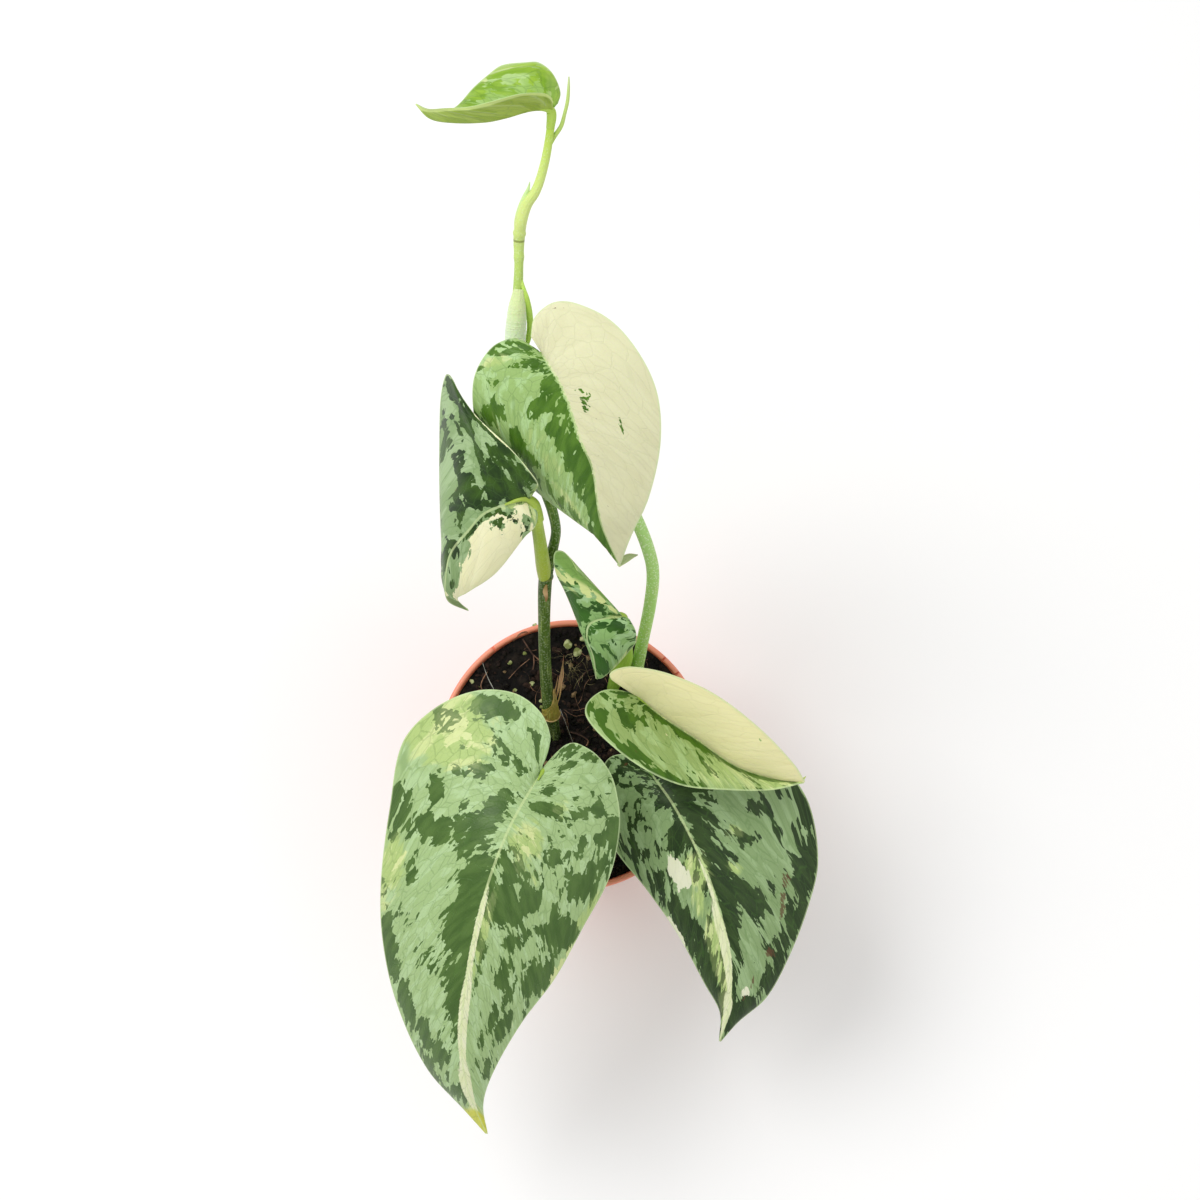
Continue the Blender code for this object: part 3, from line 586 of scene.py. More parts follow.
def stem_skin(name, low, high, steps, speckle, roughness=0.45, scars=()):
    """A stem's skin, coloured by steps from a low to a high end, streaked along it and speckled.
    Scars are the lines of old leaf bases, at millimetres along it."""
    made, tree, shader = blank_finish(name)
    place = own_place(tree)
    skin = wire(tree, "ShaderNodeUVMap", uv_map="skin_map").outputs[0]
    height = wire(tree, "ShaderNodeSeparateXYZ", {0: place}).outputs["Z"]
    climb = wire(tree, "ShaderNodeMapRange", {0: height, 1: low * MM, 2: high * MM}).outputs[0]
    base = colour_steps(tree, climb, steps)
    stretched = wire(tree, "ShaderNodeMapping", {"Vector": skin, "Scale": STREAK_SCALE}).outputs[0]
    streaks = clouds(tree, stretched, 1.0, 3.0)["Fac"]
    lighter = shade_between(tree, 0.34, base, tint(*STREAK_TONE))
    base = shade_between(tree, soft_step(tree, streaks, 0.5, 0.75), base, lighter)
    dots = cells(tree, place, DOTS_PER_METRE, feature="F1")["Distance"]
    dot = soft_step(tree, dots, 0.44, 0.26)
    pale = shade_between(tree, 0.6, base, tint(*DOT_TONE))
    base = shade_between(tree, times(tree, dot, speckle), base, pale)
    along = wire(tree, "ShaderNodeSeparateXYZ", {0: skin}).outputs["Y"]
    bent = sums(tree, "MULTIPLY_ADD", streaks, 0.004, along)
    for scar in scars:
        away = sums(tree, "ABSOLUTE", sums(tree, "SUBTRACT", bent, scar / 100 + 0.002))
        line = times(tree, soft_step(tree, away, 0.0055, 0.0020), 0.75)
        base = shade_between(tree, line, base, tint(*SCAR_LINE_TONE))
    coloured(tree, shader, base, {"Roughness": roughness, "Specular IOR Level": 0.3,
                                  "Subsurface Weight": 0.12,
                                  "Subsurface Radius": (0.001, 0.002, 0.0005)})
    relief = sums(tree, "ADD", streaks, times(tree, dot, 0.25))
    raised(tree, shader, relief, 0.0003, 0.8)
    return made


def along_at(route, height):
    """Millimetres along a rising route where it reaches a height."""
    return float(np.interp(height, [spot[2] for spot in route], way_along(route)))


def ringed(spot):
    return sum(high * math.exp(-((spot[2] - at) / wide)**2) for at, high, wide in NODE_RINGS)


vine_skin = stem_skin("vine_skin", 70.0, 225.0, [
    (0.0, (26, 42, 4)), (0.12, (58, 84, 2)), (0.36, (70, 98, 4)),
    (0.46, (56, 86, 2)), (0.60, (84, 124, 36)), (0.78, (172, 202, 98)),
    (0.88, (210, 226, 136)), (1.0, (176, 210, 64))], 0.30,
    scars=[along_at(VINE_ROUTE, height) for height in SCAR_LINE_HEIGHTS])
vine = piece_from("main_vine", tube(VINE_ROUTE, 420, 24, swell=ringed), vine_skin)
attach(vine, "root")
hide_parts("vine")

stalk_skin = stem_skin("left_stalk_skin", 136.0, 170.0, [
    (0.0, (138, 160, 48)), (0.2, (162, 180, 60)), (0.7, (150, 174, 60)),
    (1.0, (190, 212, 92))], 0.1, 0.4)
left_stalk = piece_from("left_leaf_stalk", tube(LEFT_STALK_ROUTE, 80, 24), stalk_skin)
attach(left_stalk, "root")

spear_skin = stem_skin("spear_skin", 214.0, 226.0, [
    (0.0, (176, 204, 88)), (0.7, (188, 212, 120)), (1.0, (206, 222, 160))], 0.1)
spear = piece_from("new_spear", tube(SPEAR_ROUTE, 60, 12), spear_skin)
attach(spear, "root")

scar_skin = stem_skin("scar_skin", 134.0, 139.0, [
    (0.0, (150, 112, 70)), (0.5, (196, 160, 116)), (1.0, (150, 120, 70))], 0.0, 0.7)
scar = piece_from("old_leaf_scar", tube(SCAR_ROUTE, 30, 14, squash=0.5), scar_skin)
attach(scar, "root")


# Leaf stalks: round green stems that stand in the soil on their own. They are the long matte one of
# the top leaf, the short swollen one of the small leaf beside it, and the three under the front leaves.

STALK_ROUTES = {
    "petiole_1": rooted(-8.0, -11.5, 2.1, [
        (-8.0, -11.9, 90.0, 2.0), (-8.0, -12.2, 110.0, 1.9), (-8.4, -11.9, 127.3, 1.8)]),
    "petiole_2": rooted(21.0, 0.0, 2.0, [
        (21.6, -2.4, 82.0, 1.9), (22.8, -5.6, 92.0, 1.8), (24.4, -8.4, 103.0, 1.6)]),
    "petiole_3": rooted(26.5, 14.5, 1.8, [
        (26.0, 14.3, 82.0, 1.7), (23.8, 14.0, 98.0, 1.6), (21.6, 13.8, 112.0, 1.6),
        (20.4, 13.2, 124.6, 1.5)]),
    "petiole_5": rooted(20.5, 22.0, 2.3, [
        (21.0, 26.0, 82.0, 2.2), (22.8, 34.0, 96.0, 2.0), (25.0, 44.0, 115.0, 2.0),
        (25.4, 51.3, 130.0, 2.0), (23.2, 57.5, 140.5, 2.0), (19.3, 64.5, 150.5, 2.0),
        (12.6, 74.6, 166.0, 1.9), (4.8, 85.2, 182.0, 1.8), (-2.2, 93.0, 194.5, 1.8),
        (-6.5, 97.4, 203.0, 1.7)]),
    "petiole_6": rooted(13.5, 22.5, 2.0, [
        (15.0, 25.6, 80.0, 2.6), (16.6, 28.8, 90.0, 3.0), (17.6, 31.6, 102.0, 2.0),
        (17.4, 34.3, 118.0, 1.5), (16.3, 35.6, 133.2, 1.4)])}

stalk_greens = {
    "petiole_5": stem_skin("long_stalk_skin", 70.0, 203.0, [
        (0.0, (146, 184, 80)), (0.25, (166, 208, 112)), (0.6, (172, 214, 126)),
        (1.0, (176, 212, 118))], 0.9, 0.6),
    "petiole_6": stem_skin("small_stalk_skin", 70.0, 134.0, [
        (0.0, (140, 180, 60)), (0.3, (166, 208, 74)), (1.0, (150, 190, 70))], 0.1, 0.35)}
front_green = stem_skin("front_stalk_skin", 70.0, 130.0, [
    (0.0, (84, 124, 52)), (0.6, (100, 144, 62)), (1.0, (140, 176, 84))], 0.4)
for name, route in STALK_ROUTES.items():
    stalk = piece_from(name + "_stalk", tube(route, 220 if name == "petiole_5" else 110, 22),
                       stalk_greens.get(name, front_green))
    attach(stalk, "root")
    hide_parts(name)


# Leaf necks: the last bit of each stalk, where the green stem bends and widens into the back of its
# blade. They are grown in one with the stalk and the midrib, and close the joint between them.

NECKS = [
    [(-8.7, 59.1, 167.0, 1.5), (-9.2, 61.3, 169.5, 1.5), (-10.0, 63.1, 172.0, 1.4),
     (-12.0, 63.9, 174.5, 1.1), (-14.2, 63.4, 175.6, 0.8), (-18.3, 61.8, 175.3, 0.3)],
    [(-4.6, 158.0, 219.0, 1.15), (-4.2, 160.5, 221.0, 1.35), (-4.4, 161.8, 222.2, 1.3),
     (-5.5, 161.9, 223.2, 0.9), (-7.5, 161.6, 223.9, 0.4)],
    [(-8.0, -10.4, 127.0, 1.2), (-8.1, -10.6, 128.3, 0.9), (-8.8, -11.8, 129.2, 0.5),
     (-9.8, -13.6, 129.8, 0.2)],
    [(24.3, -8.2, 101.8, 1.6), (24.7, -8.8, 102.9, 1.5), (26.5, -11.3, 102.9, 1.1),
     (29.5, -15.5, 103.9, 0.7), (32.0, -19.0, 104.8, 0.3)],
    [(20.5, 13.2, 123.4, 1.5), (20.4, 13.2, 124.9, 1.5), (21.2, 12.4, 125.0, 1.2),
     (23.0, 10.9, 124.0, 0.8), (25.8, 8.8, 122.4, 0.35)],
    [(-6.3, 97.2, 201.6, 1.7), (-6.6, 97.7, 203.0, 1.6), (-5.2, 95.6, 203.0, 1.15),
     (-3.2, 92.0, 202.5, 0.8), (-0.8, 88.0, 201.8, 0.35)],
    [(16.35, 35.2, 131.5, 1.4), (16.2, 35.9, 133.4, 1.35), (15.2, 36.5, 134.4, 1.0),
     (13.0, 36.2, 135.2, 0.7), (10.0, 35.7, 135.9, 0.35)]]


def tubes(routes, rings, sides, squash=1.0):
    """Several stems in one mesh."""
    built = bmesh.new()
    for route in routes:
        tube(route, rings, sides, built=built, squash=squash)
    return built


neck_skin = stem_skin("neck_skin", 102.0, 224.0, [
    (0.0, (104, 146, 64)), (0.19, (150, 178, 62)), (0.6, (164, 188, 72)),
    (1.0, (176, 206, 84))], 0.1)
necks = piece_from("leaf_necks", tubes(NECKS, 50, 18), neck_skin)
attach(necks, "root")


# Seven leaves: thin satin blades with a grooved midrib, side veins that arc forward and a pale
# margin, green with silver and cream markings. Each is one sheet between its midrib and its two
# margins, on its stalk at the notch of its base.

LEAVES = {
    "blade_1": dict(
        midrib=[(-9, -11, 128), (-19, -30, 133), (-27, -53, 128), (-33, -83, 112), (-33, -104, 94),
                (-27, -123, 72)],
        left=[(-7.2, -5.8, 130), (-6, -0.5, 131), (-9, 7, 131), (-17, 13, 130), (-29, 14, 128),
              (-42, 9, 124), (-52, -1, 119), (-56, -20, 114), (-59, -42, 108), (-59, -60, 102),
              (-55, -80, 95), (-46, -101, 84), (-34, -115, 76)],
        right=[(-4.2, -7.1, 127.4), (-2.5, -3.5, 128), (1, -2, 128), (5, -3.5, 128), (8.5, -6, 127),
               (12, -10.5, 125.5), (14, -16, 124), (15.2, -26.5, 120), (12, -42, 115),
               (4, -57, 111), (-5, -73, 107), (-15, -86, 101), (-24, -101, 92), (-28, -112, 83)],
        crowns=(0.06, 0.07), up=1.0, veins=11, slot="leaf_green"),
    "blade_2": dict(
        midrib=[(25, -9, 104), (32, -19, 106), (39, -32, 104), (45, -46, 99), (50, -64, 90),
                (51, -80, 80), (48, -94, 68)],
        left=[(22.5, -6.5, 104), (20, -4, 104), (15, -3, 103), (11, -5, 100), (8, -14, 97),
              (10, -25, 94), (15, -34, 92), (24, -45, 90), (34, -59, 86), (43, -75, 79),
              (48, -84, 74)],
        right=[(26.5, -6, 105), (29, -1, 106), (36, 2, 106), (46, 2, 105), (57, 0, 102),
               (68, -7, 98), (76, -18, 94), (79, -36, 90), (76, -50, 87), (70, -66, 82),
               (63, -79, 77), (54, -87, 73)],
        crowns=(0.05, 0.06), up=1.0, veins=10, slot="leaf_green"),
    "blade_3": dict(
        midrib=[(20, 13, 126), (28, 7, 122), (39, 0, 119), (51, -8, 117), (64, -12, 114),
                (73, -13, 115)],
        left=[(17.4, 15.6, 130), (13, 16.4, 134), (12, 18, 136), (14, 19.4, 137), (19, 20, 138),
              (30, 18, 137), (44, 12, 135), (58, 2, 130), (69, -8, 121)],
        right=[(17, 13.6, 127), (13, 14, 131), (9, 13, 133), (5, 9, 135), (5, 5, 135),
               (11, -2, 134), (22, -10, 131), (34, -15, 128), (47, -16, 124), (62, -15.5, 117)],
        crowns=(0.06, 0.08), up=-1.0, veins=8, quilt=0.06, slot="leaf_cream"),
    "blade_4": dict(
        midrib=[(-11, 64, 172), (-14.5, 63, 175), (-24, 60, 173), (-29, 56, 168), (-35, 51, 158),
                (-37, 45, 150), (-37, 40, 140), (-31, 38, 133)],
        left=[(-10, 62.5, 172), (-9, 60, 170.5), (-10, 57, 167), (-13, 55, 163), (-22, 46, 153),
              (-31, 41.5, 145), (-34, 40.5, 141)],
        right=[(-9.6, 65.5, 177), (-8.6, 66.6, 181), (-10, 68.5, 184), (-16, 75, 188),
               (-25.5, 84, 189), (-30, 90, 189), (-33.3, 96.2, 188), (-35, 97.7, 185),
               (-37, 93, 177), (-38, 83, 167), (-38.5, 70, 158), (-38.5, 57, 149), (-38, 44, 139)],
        crowns=(0.08, 0.14), up=-1.0, veins=8, swing=(0.42, 0.7, 0.9), slot="leaf_green"),
    "blade_5": dict(
        midrib=[(-7, 98, 205), (-1, 88, 203), (4, 75, 196), (7, 69, 191), (9, 58, 178),
                (11, 53.5, 170), (15, 47, 159)],
        left=[(-10, 102, 208), (-9, 107, 209), (-4, 111, 210), (2, 111, 210), (12, 106, 210),
              (20, 97, 208), (25, 87, 203), (26, 75, 196), (23, 62, 185), (18, 53, 172)],
        right=[(-12, 101.5, 203), (-15, 103, 203), (-21, 101, 201), (-26, 95, 195), (-27, 88, 187),
               (-25.5, 82, 178), (-20, 75.5, 171), (-13, 70.5, 167), (-6, 65, 166), (3, 58, 167),
               (8, 54, 168)],
        crowns=(0.08, 0.12), up=-1.0, veins=10, slot="leaf_cream"),
    "blade_6": dict(
        midrib=[(16, 36, 135), (10.5, 35, 137), (6, 33.5, 136), (5, 30, 132), (7, 25, 126),
                (8, 19, 118)],
        left=[(18, 35.4, 134), (20, 32, 131), (20, 29, 128), (18, 26.5, 126), (14, 22.5, 122),
              (10, 19.5, 118.5)],
        right=[(2.2, 47.2, 151), (0.3, 50.4, 152.4), (-2, 52.6, 153), (-4.2, 52.8, 152),
               (-4.8, 50.5, 150), (-4, 47, 146), (-2, 43.5, 142), (0, 39.5, 138), (2, 35, 133),
               (4, 30.5, 128), (6, 26, 123)],
        crowns=(0.12, 0.08), pace=1.3, up=-1.0, veins=6, swing=(0.3, 0.7, 0.45), slot="leaf_green"),
    "blade_7": dict(
        midrib=[(-4, 162, 222), (-8, 161.5, 224), (-11, 161, 224), (-17, 160, 222),
                (-23, 160.5, 218), (-33, 163, 212), (-39, 166, 208), (-43, 171, 206)],
        left=[(-4, 163.4, 227), (-6, 163, 231), (-12, 162, 233), (-17, 161.6, 231),
              (-21, 161.8, 228), (-27, 163, 222), (-34, 165, 216.5), (-39, 167, 211.5)],
        right=[(-2.5, 164, 222), (-1.8, 167, 222), (-3, 171, 222), (-5, 174, 222), (-8, 176, 222),
               (-11, 176, 222), (-18, 176, 220), (-22, 173.5, 219), (-26, 171, 216.5),
               (-31, 168, 211), (-36, 167, 207.5)],
        crowns=(0.1, 0.1), up=-1.0, veins=7, slot="young_green")}
for leaf in LEAVES.values():
    leaf["left"].append(leaf["midrib"][-1])
    leaf["right"].append(leaf["midrib"][-1])
LEAF_ROWS = 140
HALF_COLUMNS = 34
LAST_ROW = 0.994
PACE = 1.8
LEAF_THICKNESS = 0.5
MARGIN_THICKNESS = 0.24
GROOVE_DEPTH = 0.30
RIB_HEIGHT = 0.35
QUILT = 0.16
WAVE = 0.5
SWING = (0.12, 0.5, 1.25)


def unit(vectors):
    return vectors / (np.linalg.norm(vectors, axis=-1, keepdims=True) + 1e-9)


def upward_of(ahead):
    """Straight up, made square to each of the directions ahead."""
    return unit(np.array([0.0, 0.0, 1.0]) - ahead * ahead[:, 2:])


def leaf_grid(leaf, rows=LEAF_ROWS, half=HALF_COLUMNS):
    """Points of a leaf's middle sheet, row by row from base to tip, and how far they lie across."""
    along = np.linspace(0.0, LAST_ROW, rows + 1)
    root = spline(leaf["midrib"], along**leaf.get("pace", PACE))
    sides = []
    for margin, crown in zip((leaf["left"], leaf["right"]), leaf["crowns"]):
        chord = spline(margin, along) - root
        length = np.linalg.norm(chord, axis=1, keepdims=True)
        upward = upward_of(chord / length)
        v = np.linspace(0.0, 1.0, half + 1)[None, :, None]
        sides.append(root[:, None] + chord[:, None] * v
                     + upward[:, None] * (4 * v * (1 - v) * crown * length[:, None]))
    grid = np.concatenate([sides[0][:, :0:-1], sides[1]], axis=1)
    return grid, along, np.linspace(-1.0, 1.0, 2 * half + 1)


def sheet_normals(grid, up, passes):
    """Directions out of the upper face, evened out between neighbours."""
    normals = unit(np.cross(np.gradient(grid, axis=0), np.gradient(grid, axis=1)) * up)
    for _ in range(passes):
        padded = np.pad(normals, ((1, 1), (1, 1), (0, 0)), mode="edge")
        normals = unit(padded[:-2, 1:-1] + padded[2:, 1:-1] + padded[1:-1, :-2] + padded[1:-1, 2:]
                       + 2 * normals)
    return normals


def two_skins(name, upper, lower, finishes, marks, uvs, uv_name="vein_map"):
    """One closed sheet from two grids of points: upper skin, under skin and the edge all round."""
    rows, columns = upper.shape[:2]
    count = rows * columns
    spots = np.concatenate([upper.reshape(-1, 3), lower.reshape(-1, 3)]) * MM
    number = np.arange(count).reshape(rows, columns)
    a, b, c, d = number[:-1, :-1], number[:-1, 1:], number[1:, 1:], number[1:, :-1]
    top = np.stack([a, b, c, d], axis=-1).reshape(-1, 4)
    under = np.stack([d, c, b, a], axis=-1).reshape(-1, 4) + count
    loop = np.concatenate([number[0, :-1], number[:-1, -1], number[-1, :0:-1], number[:0:-1, 0]])
    onward = np.roll(loop, -1)
    edge = np.stack([loop + count, onward + count, onward, loop], axis=-1)
    mesh = bpy.data.meshes.new(name)
    mesh.from_pydata(spots.tolist(), [], np.concatenate([top, under, edge]).tolist())
    for finish in finishes:
        mesh.materials.append(finish)
    skin_of = np.concatenate([np.zeros(len(top)), np.full(len(under), 1), np.zeros(len(edge))])
    mesh.polygons.foreach_set("material_index", skin_of.astype(np.int32))
    corner = np.empty(len(mesh.loops), np.int32)
    mesh.loops.foreach_get("vertex_index", corner)
    flat = np.tile(uvs.reshape(-1, 2), (2, 1))
    mesh.uv_layers.new(name=uv_name).data.foreach_set("uv", flat[corner].ravel())
    for mark, values in marks.items():
        made = mesh.attributes.new(mark, "FLOAT", "POINT")
        made.data.foreach_set("value", np.tile(values.ravel(), 2).astype(np.float32))
    built = bmesh.new()
    built.from_mesh(mesh)
    bmesh.ops.recalc_face_normals(built, faces=built.faces)
    built.to_mesh(mesh)
    built.free()
    mesh.shade_smooth()
    mesh.set_sharp_from_angle(angle=math.radians(60.0))
    return in_scene(name, mesh)


def leaf_piece(name, leaf, finishes, marks):
    """A blade with its fields for the skin: the marks, and the way to the side veins and the rim."""
    grid, along, across = leaf_grid(leaf)
    normals = sheet_normals(grid, leaf["up"], 12)
    length = way_along(leaf["left"])[-1]
    from_midrib = np.linalg.norm(grid - grid[:, HALF_COLUMNS:HALF_COLUMNS + 1], axis=2)
    reach = np.abs(across)[None, :]
    side_of = np.sign(across)[None, :]
    start, full, most = leaf.get("swing", SWING)
    swing = most * np.clip((along[:, None] - start) / (full - start), 0, 1)
    forward = along[:, None] * length - swing * from_midrib
    phase = forward * leaf["veins"] / length
    to_vein = np.abs(phase - np.round(phase)) * length / leaf["veins"]
    fade = np.clip(from_midrib / 3.0, 0, 1) * np.clip((1 - reach) / 0.15, 0, 1)
    groove = GROOVE_DEPTH * np.exp(-(from_midrib / 0.9)**2) * np.clip(1.2 - along[:, None], 0, 1)
    rib = RIB_HEIGHT * np.exp(-(from_midrib / 0.8)**2) * np.clip(1.1 - along[:, None], 0, 1)
    quilt = leaf.get("quilt", QUILT) * fade * (np.exp(-(to_vein / 1.2)**2) - 0.3)
    wave = np.array([[noise.noise(Vector(spot) * 0.07 + Vector((0, 0, 9))) for spot in row]
                     for row in grid])
    middle = grid + normals * (WAVE * wave * fade)[:, :, None]
    flesh = LEAF_THICKNESS - MARGIN_THICKNESS
    half = (MARGIN_THICKNESS + flesh * np.clip((1 - reach) * 4, 0, 1)) / 2
    upper = middle + normals * (half - groove - quilt)[:, :, None]
    lower = middle - normals * (half + rib + quilt * 0.8)[:, :, None]
    uvs = np.stack([forward, from_midrib * side_of], axis=-1) / 100
    where = np.broadcast_arrays(along[:, None], across[None, :])
    chord = np.where(side_of < 0, from_midrib[:, :1], from_midrib[:, -1:])
    fields = {"vein": to_vein + 9.0 * (1.0 - fade), "rim": chord * (1.0 - reach)}
    for kind in ("dark", "cream", "lime", "plain", "scorch", "streak"):
        fields[kind] = soft_spots(marks.get(kind, []), *where)
    for side, amount in zip((-1, 1), marks["ground"]):
        fields["dark"] = fields["dark"] + amount * (side_of == side)
    if marks.get("cream_half"):
        fields["cream"] = fields["cream"] + np.clip(0.5 - across[None, :] / 0.03, 0.0, 1.0)
    return two_skins(name + "_leaf", upper, lower, finishes, fields, uvs)


def soft_spots(spots, along, across):
    """Flat-topped round spots in one field, the strongest of each sign where they overlap."""
    most = np.zeros(along.shape)
    least = np.zeros(along.shape)
    for at, side, long, wide, strength in spots:
        away = ((100 * along - at) / long)**2 + ((100 * across - side) / wide)**2
        value = strength * np.exp(-0.5 * away**1.5)
        most, least = np.maximum(most, value), np.minimum(least, value)
    return most + least


